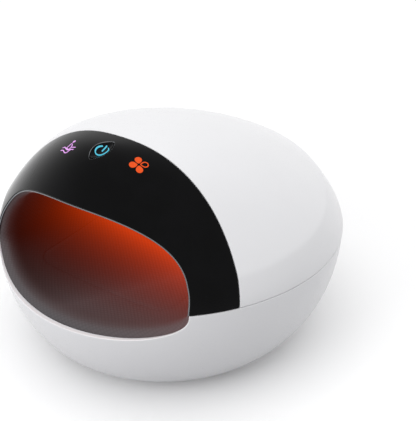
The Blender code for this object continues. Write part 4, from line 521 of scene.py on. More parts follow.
def shell_piece(name, skin, centre, lines, bulge, counts, slot, mouth_front, softness=0.0):
    """Fills four lines on the surface and gives the patch rounded edges and a wall.

    At the mouth the wall's edge runs straight back.
    """
    s = sizes("housing")
    grid = patch(skin, centre, *lines, bulge, counts, s.edge_radius)
    grid = skin.project(grid, centre, softness)
    normals = grid_normals(grid, centre)
    away_rows = (1 - edge_distances(counts[1]))[:, None]
    away_columns = (1 - edge_distances(counts[0]))[None, :]
    left_over = np.maximum(1 - away_rows**2 - away_columns**2, 0.0)
    depth = s.edge_radius * (1 - np.sqrt(left_over))
    outer = grid - normals * depth[..., None]
    inner = grid - normals * s.wall
    if mouth_front:
        reach = s.wall / np.maximum(-normals[0, :, 1], STEEPEST)
        straight = grid[0] + np.stack([0 * reach, reach, 0 * reach], axis=-1)
        shift = straight - inner[0]
        blend = np.linspace(1.0, 0.0, STRAIGHT_ROWS)[1:]
        inner[0] = straight
        inner[1 : 1 + len(blend)] += blend[:, None, None] * shift[None]
    points = np.concatenate([outer.reshape(-1, 3), inner.reshape(-1, 3)])
    return new_object(name, points, double_faces(*grid.shape[:2]), finish(slot))


def cut(piece, cutter):
    """Takes a cutter out of a piece and deletes the cutter."""
    step = piece.modifiers.new("cut", "BOOLEAN")
    step.object = cutter
    step.operation = "DIFFERENCE"
    step.solver = "EXACT"
    apply_modifiers(piece)
    bpy.data.objects.remove(cutter, do_unlink=True)


def apply_modifiers(piece):
    """Puts the mesh that the modifiers give in the place of the piece's own."""
    bpy.context.view_layer.update()
    seen = piece.evaluated_get(bpy.context.evaluated_depsgraph_get())
    mesh = bpy.data.meshes.new_from_object(seen)
    old = piece.data
    piece.modifiers.clear()
    piece.data = mesh
    mesh.name = old.name
    bpy.data.meshes.remove(old)


def even_shading(piece, sharp):
    """Keeps broad faces even beside narrow roundings. Edges over the angle in degrees stay sharp."""
    piece.data.shade_smooth()
    piece.data.set_sharp_from_angle(angle=math.radians(sharp))
    step = piece.modifiers.new("even_shading", "WEIGHTED_NORMAL")
    step.mode = "FACE_AREA"
    step.keep_sharp = True
    step.weight = 50


def swept(name, sections, finish, closed=False):
    """Skins rings of points, listed along a path, and caps the ends of an open one."""
    sections = np.asarray(sections)
    count, ring = sections.shape[:2]
    faces = grid_faces(count, ring, closed=True, looped=closed)
    if not closed:
        faces.append(tuple(range(ring)))
        faces.append(tuple(reversed(range((count - 1) * ring, count * ring))))
    return new_object(name, sections.reshape(-1, 3), faces, finish)


def rounded_outline(low_x, high_x, low_y, high_y, corner, steps=8):
    """A rectangle with round corners."""
    points = []
    centres = (
        (high_x - corner, low_y + corner, -90),
        (high_x - corner, high_y - corner, 0),
        (low_x + corner, high_y - corner, 90),
        (low_x + corner, low_y + corner, 180),
    )
    for x, y, start in centres:
        for step in range(steps + 1):
            turn = math.radians(start + 90 * step / steps)
            points.append((x + corner * math.cos(turn), y + corner * math.sin(turn)))
    return points


def box_outline(node, grow, corner):
    """The plan of a node's box, grown on every side, with round corners."""
    low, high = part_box(node)
    return rounded_outline(low.x - grow, high.x + grow, low.y - grow, high.y + grow, corner)


def prism(name, outline, low, high, place=Matrix.Identity(4)):
    """A cutter: an outline between two heights."""
    points = [place @ Vector((x, y, height)) for height in (low, high) for x, y in outline]
    count = len(outline)
    faces = [(step, (step + 1) % count, (step + 1) % count + count, step + count) for step in range(count)]
    faces += [tuple(reversed(range(count))), tuple(range(count, 2 * count))]
    return new_object(name, points, faces, None, smooth=False)


def finish_piece(piece, body, slot, *replaced, sharp=40):
    even_shading(piece, sharp)
    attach(piece, body)
    if replaced:
        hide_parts(*replaced)


# Finishes, made of shader nodes


WHITE = (1.0, 1.0, 1.0, 1.0)


class Nodes:
    """A tree of shader nodes under construction."""

    def __init__(self, tree):
        self.tree = tree

    def node(self, kind, *inputs, **settings):
        made = self.tree.nodes.new("ShaderNode" + kind)
        for name, value in settings.items():
            setattr(made, name, value)
        for index, value in enumerate(inputs):
            self.feed(made.inputs[index], value)
        return made

    def feed(self, socket, value):
        if isinstance(value, bpy.types.NodeSocket):
            self.tree.links.new(value, socket)
        elif value is not None:
            socket.default_value = value

    def math(self, operation, *inputs):
        return self.node("Math", *inputs, operation=operation).outputs[0]


class Finish(Nodes):
    """A material under construction."""

    def __init__(self, name):
        self.material = bpy.data.materials.new(name)
        self.material.use_nodes = True
        super().__init__(self.material.node_tree)
        self.shader = self.tree.nodes["Principled BSDF"]
        self.output = self.tree.nodes["Material Output"]

    def set(self, **values):
        for name, value in values.items():
            self.shader.inputs[name.replace("_", " ")].default_value = value

    def place(self, kind="Object"):
        return self.node("TexCoord").outputs[kind]

    def axes(self, vector):
        return self.node("SeparateXYZ", vector).outputs

    def noise(self, scale, detail=3.0, roughness=0.5, vector=None):
        made = self.node("TexNoise", vector or self.place())
        made.inputs["Scale"].default_value = scale
        made.inputs["Detail"].default_value = detail
        made.inputs["Roughness"].default_value = roughness
        return made.outputs["Fac"]

    def ramp(self, value, low, high, from_low=0.0, from_high=1.0):
        made = self.node("MapRange")
        limits = {"From Min": from_low, "From Max": from_high, "To Min": low, "To Max": high}
        for name, number in limits.items():
            made.inputs[name].default_value = number
        self.feed(made.inputs["Value"], value)
        return made.outputs["Result"]

    def mix(self, factor, first, second):
        made = self.node("Mix", data_type="RGBA")
        self.feed(made.inputs["Factor"], factor)
        self.feed(made.inputs[6], (*first, 1.0) if isinstance(first, (tuple, list)) else first)
        self.feed(made.inputs[7], (*second, 1.0) if isinstance(second, (tuple, list)) else second)
        return made.outputs[2]

    def link(self, name, socket):
        self.tree.links.new(socket, self.shader.inputs[name])

    def bump(self, height, distance, strength=1.0):
        made = self.node("Bump")
        made.inputs["Distance"].default_value = distance
        made.inputs["Strength"].default_value = strength
        self.feed(made.inputs["Height"], height)
        self.link("Normal", made.outputs["Normal"])


def scaled(tone, factor):
    return tuple(min(part * factor, 1.0) for part in tone)


def moulded_plastic(name, tone, roughness, grain, coat=0.0, speckle=0.03):
    """Moulded plastic: fine grain, with slight changes of tone and gloss."""
    f = Finish(name)
    f.set(Coat_Weight=coat, Coat_Roughness=0.08)
    broad = f.noise(35.0, 2.0)
    fine = f.noise(2600.0, 2.0)
    f.link("Base Color", f.mix(f.ramp(broad, 0.0, 1.0, 0.35, 0.65), scaled(tone, 1 - speckle), tone))
    f.link("Roughness", f.ramp(fine, roughness * 0.9, roughness * 1.12, 0.3, 0.7))
    f.bump(fine, grain, 0.6)
    return f.material


def gloss_black(name, tone):
    """Polished black with faint haze and hairline wear."""
    f = Finish(name)
    f.set(Specular_IOR_Level=0.07)
    haze = f.noise(60.0, 4.0, 0.6)
    stretched = f.node("Mapping", f.place())
    stretched.inputs["Scale"].default_value = (1.0, 14.0, 6.0)
    lines = f.noise(420.0, 2.0, vector=stretched.outputs[0])
    f.link("Base Color", f.mix(f.ramp(haze, 0.0, 1.0, 0.4, 0.6), tone, scaled(tone, 1.5)))
    wear = f.math("MULTIPLY", f.ramp(haze, 0.0, 0.04, 0.4, 0.8), f.ramp(lines, 0.0, 1.0, 0.55, 0.7))
    f.link("Roughness", f.math("ADD", 0.09, wear))
    return f.material


def metal(name, tone, roughness, stretch):
    """Metal with fine lines along one axis."""
    f = Finish(name)
    f.set(Metallic=1.0)
    stretched = f.node("Mapping", f.place())
    stretched.inputs["Scale"].default_value = stretch
    lines = f.noise(900.0, 3.0, vector=stretched.outputs[0])
    f.link("Base Color", f.mix(lines, scaled(tone, 0.88), scaled(tone, 1.08)))
    f.link("Roughness", f.ramp(lines, roughness * 0.8, roughness * 1.3, 0.3, 0.7))
    f.bump(lines, 0.00001, 0.4)
    return f.material


def woven_height(f, across, along, pitch):
    """A mesh cloth set on the bias: rows of small raised squares with lines between them."""
    half_turn = math.pi / pitch / math.sqrt(2)
    first = f.math("SINE", f.math("MULTIPLY", f.math("ADD", across, along), half_turn))
    second = f.math("SINE", f.math("MULTIPLY", f.math("SUBTRACT", across, along), half_turn))
    both = f.math("MULTIPLY", f.math("ABSOLUTE", first), f.math("ABSOLUTE", second))
    return f.math("POWER", both, 0.6)


def painted_glow_strength(f, place):
    """How strongly the cloth glows with painted warm light, which stands in for the lens's light on it: most at the
    back, to the right and round the lens.
    """
    m = sizes("mouth")
    lens = (0.0, -0.062, 0.110)
    x, y, z = f.axes(place)
    reach = f.math("MULTIPLY_ADD", x, m.painted_glow_across, f.math("MULTIPLY", y, m.painted_glow_along))
    deep = f.math("EXPONENT", f.math("ADD", reach, m.painted_glow_place))
    away = f.node("VectorMath", place, lens, operation="DISTANCE").outputs["Value"]
    near = f.math("MULTIPLY", f.ramp(away, 0.5, 0.0, 0.008, 0.045), f.ramp(z, 0.0, 1.0, 0.085, 0.105))
    return f.math("MINIMUM", f.math("ADD", deep, near), m.painted_glow_limit)


def cloth(name, tone, edging, use_uv):
    """Mesh fabric with a paler lip, partly painted light, and a soft sheen. Painted shade darkens it into the tunnel
    and to the left, and it glows with painted warm light in place of the lens's light.
    """
    f = Finish(name)
    m = sizes("mouth")
    f.set(Sheen_Weight=0.06, Sheen_Roughness=0.6, Specular_IOR_Level=0.1)
    place = f.place()
    across, along = f.axes(f.place("UV") if use_uv else place)[:2]
    height = woven_height(f, across, along, m.weave)
    yarn = f.noise(1500.0, 2.0)
    x, y = f.axes(place)[:2]
    # Painted shade: the base colour goes to black to the left and deep in the tunnel
    reach = f.math("MULTIPLY_ADD", x, m.painted_shade_across, f.math("MULTIPLY", y, -m.painted_shade_along))
    shade = f.math("MINIMUM", f.math("EXPONENT", f.math("ADD", reach, -m.painted_shade_place)), 1.0)
    dark = f.mix(height, scaled(tone, 0.80), scaled(tone, 1.12))
    dark = f.mix(f.ramp(f.noise(22.0, 3.0), 0.0, 0.18, 0.4, 0.7), dark, scaled(tone, 0.7))
    dark = f.mix(shade, (0.0, 0.0, 0.0), dark)
    # Paler cloth and painted light on the lip, fading into the tunnel
    if use_uv:
        front = f.node("Attribute", attribute_name="lip").outputs["Fac"]
        dark = f.mix(front, dark, f.mix(height, scaled(edging, 0.88), scaled(edging, 1.08)))
    f.link("Base Color", dark)
    f.link("Roughness", f.ramp(yarn, 0.80, 0.96))
    f.bump(f.math("ADD", height, f.math("MULTIPLY", yarn, 0.3)), 0.00009, 0.7)
    # Painted light: the cloth's emission stands in for the warm light that the lens throws on it
    f.set(Emission_Color=(*sizes("finishes").glow, 1.0))
    strength = painted_glow_strength(f, place)
    f.link("Emission Strength", f.math("MULTIPLY", strength, f.ramp(height, 0.88, 1.04)))
    return f.material


def lit_plastic(name, tone, strength):
    """A light guide lit from below, with a fine diffusing grain."""
    f = Finish(name)
    f.set(Base_Color=(*scaled(tone, 0.12), 1.0), Emission_Color=(*tone, 1.0), Specular_IOR_Level=0.1)
    grain = f.noise(900.0, 3.0)
    f.link("Emission Strength", f.ramp(grain, strength * 0.88, strength * 1.08, 0.3, 0.7))
    f.link("Roughness", f.ramp(grain, 0.25, 0.4))
    return f.material


def clear_plastic(name, tone, transmission, roughness):
    """Translucent silicone or film."""
    f = Finish(name)
    f.set(Transmission_Weight=transmission, IOR=1.42)
    cloud = f.noise(120.0, 3.0)
    f.link("Base Color", f.mix(cloud, scaled(tone, 0.86), scaled(tone, 1.06)))
    f.link("Roughness", f.ramp(cloud, roughness * 0.8, roughness * 1.25))
    f.bump(cloud, 0.00003, 0.5)
    return f.material


def circuit_board(name):
    """Green solder mask over raised tracks."""
    f = Finish(name)
    place = f.place()
    tracks = f.node("TexBrick", place)
    tracks.inputs["Scale"].default_value = 260.0
    tracks.inputs["Mortar Size"].default_value = 0.09
    cells = f.node("TexVoronoi", place, feature="DISTANCE_TO_EDGE")
    cells.inputs["Scale"].default_value = 330.0
    raised = f.math("MAXIMUM", tracks.outputs["Fac"], f.math("LESS_THAN", cells.outputs[0], 0.06))
    f.link("Base Color", f.mix(raised, (0.010, 0.105, 0.045), (0.022, 0.190, 0.085)))
    f.link("Roughness", f.ramp(raised, 0.42, 0.30))
    f.bump(raised, 0.00003, 0.6)
    return f.material


def heating_film(name):
    """Amber film over a copper track that runs to and fro."""
    f = Finish(name)
    pitch = 0.0042
    to_and_fro = f.math("SINE", f.math("MULTIPLY", f.axes(f.place())[1], 2 * math.pi / pitch))
    track = f.math("GREATER_THAN", f.math("ABSOLUTE", to_and_fro), 0.45)
    f.link("Base Color", f.mix(track, (0.30, 0.085, 0.018), (0.62, 0.27, 0.12)))
    f.link("Metallic", f.math("MULTIPLY", track, 0.7))
    f.set(Roughness=0.35)
    f.bump(track, 0.00004, 0.7)
    return f.material


def rubber(name, tone):
    """Dull rubber with a fine grain."""
    f = Finish(name)
    grain = f.noise(1400.0, 4.0, 0.7)
    f.link("Base Color", f.mix(grain, scaled(tone, 0.7), scaled(tone, 1.2)))
    f.link("Roughness", f.ramp(grain, 0.75, 0.95))
    f.bump(grain, 0.00006, 0.7)
    return f.material


def cell_wrap(name):
    """Shrunk sleeve on a battery cell: blue, with pale bands at its ends."""
    f = Finish(name)
    sleeve_half = 0.0295
    ends = f.math("GREATER_THAN", f.math("ABSOLUTE", f.axes(f.place())[0]), sleeve_half)
    wrinkles = f.noise(300.0, 3.0)
    f.link("Base Color", f.mix(ends, (0.025, 0.12, 0.30), (0.45, 0.50, 0.55)))
    f.link("Roughness", f.ramp(wrinkles, 0.25, 0.42))
    f.bump(wrinkles, 0.00004, 0.5)
    return f.material


# How each finish is made. A word stands for one of the colours that a user can change.
RECIPES = {
    "white_shell": (moulded_plastic, "shell", 0.30, 0.00002, 0.25, 0.012),
    "black_visor": (gloss_black, "visor"),
    "silver_trim": (metal, "trim", 0.14, (1.0, 12.0, 1.0)),
    # Both cloths carry painted shade and a painted warm glow
    "liner_fabric": (cloth, "cloth", "edging", True),
    "pad_fabric": (cloth, "cloth", "edging", False),
    "cyan_guide": (lit_plastic, "power", 1.0),
    "lilac_guide": (lit_plastic, "massage", 1.0),
    "orange_guide": (lit_plastic, "heat", 1.0),
    "warm_lens": (lit_plastic, "glow", 1.5),
    "inner_plastic": (moulded_plastic, (0.075, 0.075, 0.080), 0.55, 0.00004),
    "plate_plastic": (moulded_plastic, (0.66, 0.66, 0.64), 0.50, 0.00003),
    "pump_plastic": (moulded_plastic, (0.28, 0.29, 0.31), 0.48, 0.00004),
    "valve_plastic": (moulded_plastic, (0.72, 0.72, 0.69), 0.46, 0.00003),
    "switch_black": (moulded_plastic, (0.025, 0.025, 0.026), 0.45, 0.00002),
    "cable_jacket": (moulded_plastic, (0.33, 0.020, 0.018), 0.42, 0.00003),
    "steel": (metal, (0.56, 0.57, 0.58), 0.28, (1.0, 1.0, 7.0)),
    "switch_steel": (metal, (0.55, 0.55, 0.55), 0.34, (6.0, 1.0, 1.0)),
    "brass": (metal, (0.62, 0.42, 0.15), 0.30, (1.0, 7.0, 1.0)),
    "board_green": (circuit_board,),
    "film_copper": (heating_film,),
    "cell_film": (clear_plastic, (0.55, 0.57, 0.60), 0.35, 0.35),
    "hose_silicone": (clear_plastic, (0.78, 0.79, 0.80), 0.30, 0.38),
    "cell_wrap": (cell_wrap,),
    "foot_rubber": (rubber, (0.10, 0.10, 0.105)),
}
MADE = {}


def finish(name):
    """Each finish is made once."""
    if name not in MADE:
        maker, *values = RECIPES[name]
        tones = sizes("finishes")
        values = [tuple(getattr(tones, value)) if isinstance(value, str) else value for value in values]
        MADE[name] = maker(name, *values)
    return MADE[name]


CORNERS = ("front_left", "front_right", "rear_left", "rear_right")
FEET = tuple("foot_" + corner for corner in CORNERS)


# The outer shells


LINE_POINTS = 241
FULL_REAR = (45.0, 135.0)  # bearings of the shells' rear side


def mouth_outline(turn, inset=0.0):
    """The mouth seen from the front, moved towards its middle by the inset."""
    m = sizes("mouth")
    return superellipse(
        turn, m.half_width - inset, m.rise - inset, m.drop - inset, m.arch_exponent, m.sill_exponent
    )


class MASSAGER_OT_visor(bpy.types.Operator):
    """Make the gloss black visor over the front"""

    bl_idname = "massager.visor"
    bl_label = "Visor"
    bl_options = {"REGISTER", "UNDO"}
    COUNTS = (150, 30)
    HOLE = (-0.008, 0.004)  # heights between which the button's hole is cut

    def execute(self, context):
        skin, gap = Skin(), sizes("housing").gap
        centre = np.array([0.0, 0.0, skin.parting + gap / 2])
        x, height = mouth_outline(np.linspace(0.0, math.pi, LINE_POINTS))
        front = skin.front_at(x, np.maximum(height, gap / 2))
        rear = skin.visor_edge(np.linspace(0.0, math.pi, LINE_POINTS), -gap)
        rear[[0, -1], 2] = centre[2]
        ends = [bearing_of(point, centre) for point in (front[0], rear[0], front[-1], rear[-1])]
        right, left = parting_arc(skin, centre, *ends[:2]), parting_arc(skin, centre, *ends[2:])
        visor = shell_piece(
            "front_visor_skin",
            skin,
            centre,
            (front, rear, right, left),
            (0.0, 0.0, 0.0),
            self.COUNTS,
            "black_visor",
            True,
            sizes("housing").crease_softness,
        )
        cut(visor, prism("button_hole", almond(gap + sizes("panel").bezel), *self.HOLE, panel_place(skin)))
        finish_piece(visor, "housing", "black_visor", "front_visor")
        return {"FINISHED"}


class MASSAGER_OT_upper_shell(bpy.types.Operator):
    """Make the white dome behind the visor"""

    bl_idname = "massager.upper_shell"
    bl_label = "Upper Shell"
    bl_options = {"REGISTER", "UNDO"}
    COUNTS = (180, 180)
    BULGE = (0.0, 0.0, 0.04)

    def execute(self, context):
        skin, gap = Skin(), sizes("housing").gap
        centre = np.array([0.0, 0.0, skin.parting + gap / 2])
        front = skin.visor_edge(np.linspace(0.0, math.pi, LINE_POINTS), 0.0)
        front[[0, -1], 2] = centre[2]
        rear = parting_arc(skin, centre, *FULL_REAR)
        right = parting_arc(skin, centre, bearing_of(front[0], centre), FULL_REAR[0])
        left = parting_arc(skin, centre, bearing_of(front[-1], centre) % 360, FULL_REAR[1])
        shell = shell_piece(
            "upper_shell_skin",
            skin,
            centre,
            (front, rear, right, left),
            self.BULGE,
            self.COUNTS,
            "white_shell",
            False,
            sizes("housing").crease_softness,
        )
        finish_piece(shell, "housing", "white_shell", "upper_shell")
        return {"FINISHED"}


class MASSAGER_OT_lower_shell(bpy.types.Operator):
    """Make the white bowl under the parting line"""

    bl_idname = "massager.lower_shell"
    bl_label = "Lower Shell"
    bl_options = {"REGISTER", "UNDO"}
    COUNTS = (110, 130)
    BULGE = (0.0, 0.0, -0.06)
    OVERRUN = 0.01  # how far a cutter reaches out of the shell

    def execute(self, context):
        skin, gap = Skin(), sizes("housing").gap
        centre = np.array([0.0, 0.0, skin.parting - gap / 2])
        x, height = mouth_outline(np.linspace(0.0, -math.pi, LINE_POINTS))
        front = skin.front_at(x, np.minimum(height, -gap / 2))
        rear = parting_arc(skin, centre, *FULL_REAR)
        right = parting_arc(skin, centre, bearing_of(front[0], centre), FULL_REAR[0])
        left = parting_arc(skin, centre, bearing_of(front[-1], centre) % 360, FULL_REAR[1])
        lines = (front, rear, right, left)
        shell = shell_piece(
            "lower_shell_skin", skin, centre, lines, self.BULGE, self.COUNTS, "white_shell", True
        )
        for foot in FEET:
            self.recess(shell, *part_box(foot), gap)
        low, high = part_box("charge_socket")
        outline = rounded_outline(low.x - gap, high.x + gap, low.z - gap, high.z + gap, (high.z - low.z) / 2)
        upright = Matrix(((1, 0, 0, 0), (0, 0, 1, 0), (0, 1, 0, 0), (0, 0, 0, 1)))
        cut(shell, prism("inlet_slot", outline, low.y, high.y + self.OVERRUN, upright))
        finish_piece(shell, "housing", "white_shell", "lower_shell")
        return {"FINISHED"}

    def recess(self, shell, low, high, gap):
        """Sinks a place for a foot."""
        middle = (low + high) / 2
        radius = (high.x - low.x) / 2 + gap
        outline = [
            (middle.x + radius * math.cos(turn), middle.y + radius * math.sin(turn))
            for turn in np.linspace(0.0, 2 * math.pi, 49)[:-1]
        ]
        cut(shell, prism("foot_recess", outline, low.z - self.OVERRUN, high.z + gap))


# The panel: the button, its symbol and the two icons


def panel_place(skin):
    """The panel's frame: its origin on the dome at the button, its Z axis along the dome's normal."""
    p = sizes("panel")
    reach = p.button_half_length
    low, middle, high = skin.top_at(np.zeros(3), p.place_y + reach * np.array([-1.0, 0.0, 1.0]))
    tilt = math.atan2(high[2] - low[2], 2 * reach)
    return Matrix.Translation(Vector(middle)) @ Matrix.Rotation(tilt, 4, "X")


ALMOND_STEPS = 26
POINTED = 0.8  # how pointed the almond's ends are
TIP_GROWTH = 1.3  # an offset almond grows more at its points


def turned(x, y, angle):
    """Turns places about the panel's normal."""
    return x * math.cos(angle) + y * math.sin(angle), y * math.cos(angle) - x * math.sin(angle)


def almond(grow=0.0):
    """An almond with its two points to the front and the rear."""
    p = sizes("panel")
    half_width, half_length = p.button_half_width + grow, p.button_half_length + TIP_GROWTH * grow
    points = []
    for side in (1, -1):
        for step in range(ALMOND_STEPS):
            along = -math.cos(math.pi * step / ALMOND_STEPS)
            x, y = side * half_width * (1 - along**2) ** POINTED, side * half_length * along
            points.append(turned(x, y, p.turn))
    return points


def panel_normal(place):
    """The way out of the dome at the button."""
    return place.to_3x3() @ Vector((0.0, 0.0, 1.0))


def on_panel(skin, place, points, lift):
    """Sets flat points on the dome, at a height over it."""
    normal = np.array(panel_normal(place))
    flat = np.array([place @ Vector((x, y, 0.0)) for x, y in points])
    for _ in range(8):
        away = skin.top_at(flat[:, 0], flat[:, 1])[:, 2] - flat[:, 2]
        flat = flat + (away * normal[2])[:, None] * normal
    return [Vector(point) for point in flat + lift * normal]


class MASSAGER_OT_power_button(bpy.types.Operator):
    """Make the dished almond button and its lit power symbol"""

    bl_idname = "massager.power_button"
    bl_label = "Power Button"
    bl_options = {"REGISTER", "UNDO"}
    RINGS = 28
    DISH_LENGTH = 0.94  # the hollow's length, as a share of the button's
    DISH_FULLNESS = 0.75
    BEZEL_DEPTH = 0.0009
    BEVEL = 0.8  # the bezel's bevel, as a share of its width
    HALF_OPENING = math.radians(34)  # half the gap in the ring
    BAR = 1.15  # the bar's length, as a share of the ring's radius
    SEAT = 0.0004  # from the button's underside to the symbol's disc
    DISC = 0.0008
    STEM_RADIUS = 0.0016
    STEM_SHARE = 0.985  # how far the stem reaches down in its box

    def execute(self, context):
        skin, p = Skin(), sizes("panel")
        place = panel_place(skin)
        outline = np.array(almond())
        count = len(outline)
        normal = panel_normal(place)
        points = [place @ Vector((x, y, -p.button_depth)) for x, y in outline]
        for ring in range(self.RINGS + 1):
            flat = outline * (1 - ring / self.RINGS)
            for at, down in zip(on_panel(skin, place, flat, 0.0), self.dish(flat)):
                points.append(at - normal * float(down))
        faces = grid_faces(self.RINGS + 2, count, closed=True)
        faces.append(tuple(reversed(range(count))))
        button = new_object("power_button_cap", points, faces, finish("black_visor"))
        mend(button.data, WELD)
        finish_piece(button, "button", "black_visor", "power_button", sharp=50)
        self.symbol(skin, place)
        self.bezel(skin, place)
        return {"FINISHED"}

    def bezel(self, skin, place):
        """A bright bevelled edge that frames the button."""
        width, gap, deep = sizes("panel").bezel, sizes("housing").gap, -self.BEZEL_DEPTH
        corners = ((0.0, deep), (0.0, -width), (width * self.BEVEL, 0.0), (width, 0.0), (width, deep))
        rings = [on_panel(skin, place, almond(gap + out), lift) for out, lift in corners]
        rings = np.array(rings).transpose(1, 0, 2)
        bezel = swept("button_bezel", rings, finish("silver_trim"), closed=True)
        finish_piece(bezel, "housing", "silver_trim", sharp=50)

    def dish(self, flat):
        """How deep the hollow is at each point."""
        p = sizes("panel")
        x, y = turned(flat[:, 0], flat[:, 1], -p.turn)
        part = (x / p.button_half_width) ** 2 + (y / (p.button_half_length * self.DISH_LENGTH)) ** 2
        return p.dish_depth * np.clip(1 - part, 0.0, 1.0) ** self.DISH_FULLNESS

    def symbol(self, skin, place):
        """The open ring and its bar, which stand a little over the hollow, on a round base with a stem."""
        p = sizes("panel")
        opening = self.HALF_OPENING
        turn = math.pi / 2 + opening + (2 * math.pi - 2 * opening) * np.linspace(0.0, 1.0, 49)
        ring = np.stack([p.ring_radius * np.cos(turn), p.ring_radius * np.sin(turn)], axis=-1)
        bar = np.stack([np.zeros(9), np.linspace(0.0, p.ring_radius * self.BAR, 9)], axis=-1)
        shape = bmesh.new()
        for line in (ring, bar):
            self.stroke(shape, skin, place, line)
        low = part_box("power_light_guide")[0]
        top = -(p.button_depth + self.SEAT)
        foot = (low.z - place.translation.z) / place.to_3x3()[2][2] * self.STEM_SHARE
        disc = (p.base_radius, top, top - self.DISC)
        stem = (self.STEM_RADIUS, top - self.DISC / 2, foot)
        for radius, start, end in (disc, stem):
            at = place @ Matrix.Translation((0.0, 0.0, (start + end) / 2))
            bmesh.ops.create_cone(
                shape, cap_ends=True, segments=32, radius1=radius, radius2=radius, depth=start - end, matrix=at
            )
        symbol = drawn_object("power_symbol", shape, finish("cyan_guide"))
        finish_piece(symbol, "button", "cyan_guide", "power_light_guide", sharp=50)

    def stroke(self, shape, skin, place, line):
        """A raised line with round ends, which follows the hollow."""
        p, normal = sizes("panel"), panel_normal(place)
        flat, faces, loops = stroke_shape(line, p.stroke)
        surface = on_panel(skin, place, flat, 0.0)
        top = [at + normal * float(p.symbol_proud - down) for at, down in zip(surface, self.dish(flat))]
        slab(shape, top, [at - normal * p.button_depth for at in surface], faces, loops)


def stroke_shape(line, width, ends=6):
    """A line with round ends as flat points, the faces between them and the outline."""
    line = np.asarray(line)
    count = len(line)
    ahead = np.gradient(line, axis=0)
    ahead /= np.linalg.norm(ahead, axis=1, keepdims=True)
    side = np.stack([ahead[:, 1], -ahead[:, 0]], axis=-1) * width / 2
    first, last = [], []
    for step in range(1, ends):
        turn = math.pi * step / ends
        last.append(line[-1] + side[-1] * math.cos(turn) + ahead[-1] * math.sin(turn) * width / 2)
        first.append(line[0] - side[0] * math.cos(turn) - ahead[0] * math.sin(turn) * width / 2)
    points = np.concatenate([line + side, last, (line - side)[::-1], first])
    total = len(points)
    other = [count + ends - 1 + count - 1 - step for step in range(count)]
    faces = [(step, step + 1, other[step + 1], other[step]) for step in range(count - 1)]
    faces.append(tuple(range(count - 1, count + ends)))
    faces.append((*range(2 * count + ends - 2, total), 0))
    return points, faces, [list(range(total))]


def filled_shape(outline):
    """An outline filled from its middle."""
    count = len(outline)
    points = np.concatenate([outline, outline.mean(axis=0)[None]])
    faces = [(step, (step + 1) % count, count) for step in range(count)]
    return points, faces, [list(range(count))]


def ring_shape(outline, width):
    """A closed line of a width, inside its outline."""
    count = len(outline)
    ahead = np.roll(outline, -1, axis=0) - np.roll(outline, 1, axis=0)
    ahead /= np.linalg.norm(ahead, axis=1, keepdims=True)
    inner = outline + np.stack([-ahead[:, 1], ahead[:, 0]], axis=-1) * width
    faces = grid_faces(2, count, closed=True)
    loops = [list(range(count)), list(range(2 * count - 1, count - 1, -1))]
    return np.concatenate([outline, inner]), faces, loops


def slab(shape, top, bottom, faces, loops):
    """Adds a closed body between two like sets of points."""
    top = [shape.verts.new(point) for point in top]
    bottom = [shape.verts.new(point) for point in bottom]
    made = []
    for face in faces:
        made.append(shape.faces.new([top[index] for index in face]))
        made.append(shape.faces.new([bottom[index] for index in reversed(face)]))
    for loop in loops:
        for here, there in zip(loop, loop[1:] + loop[:1]):
            made.append(shape.faces.new((top[there], top[here], bottom[here], bottom[there])))
    bmesh.ops.recalc_face_normals(shape, faces=made)


WELD = 0.00001  # points closer than this become one


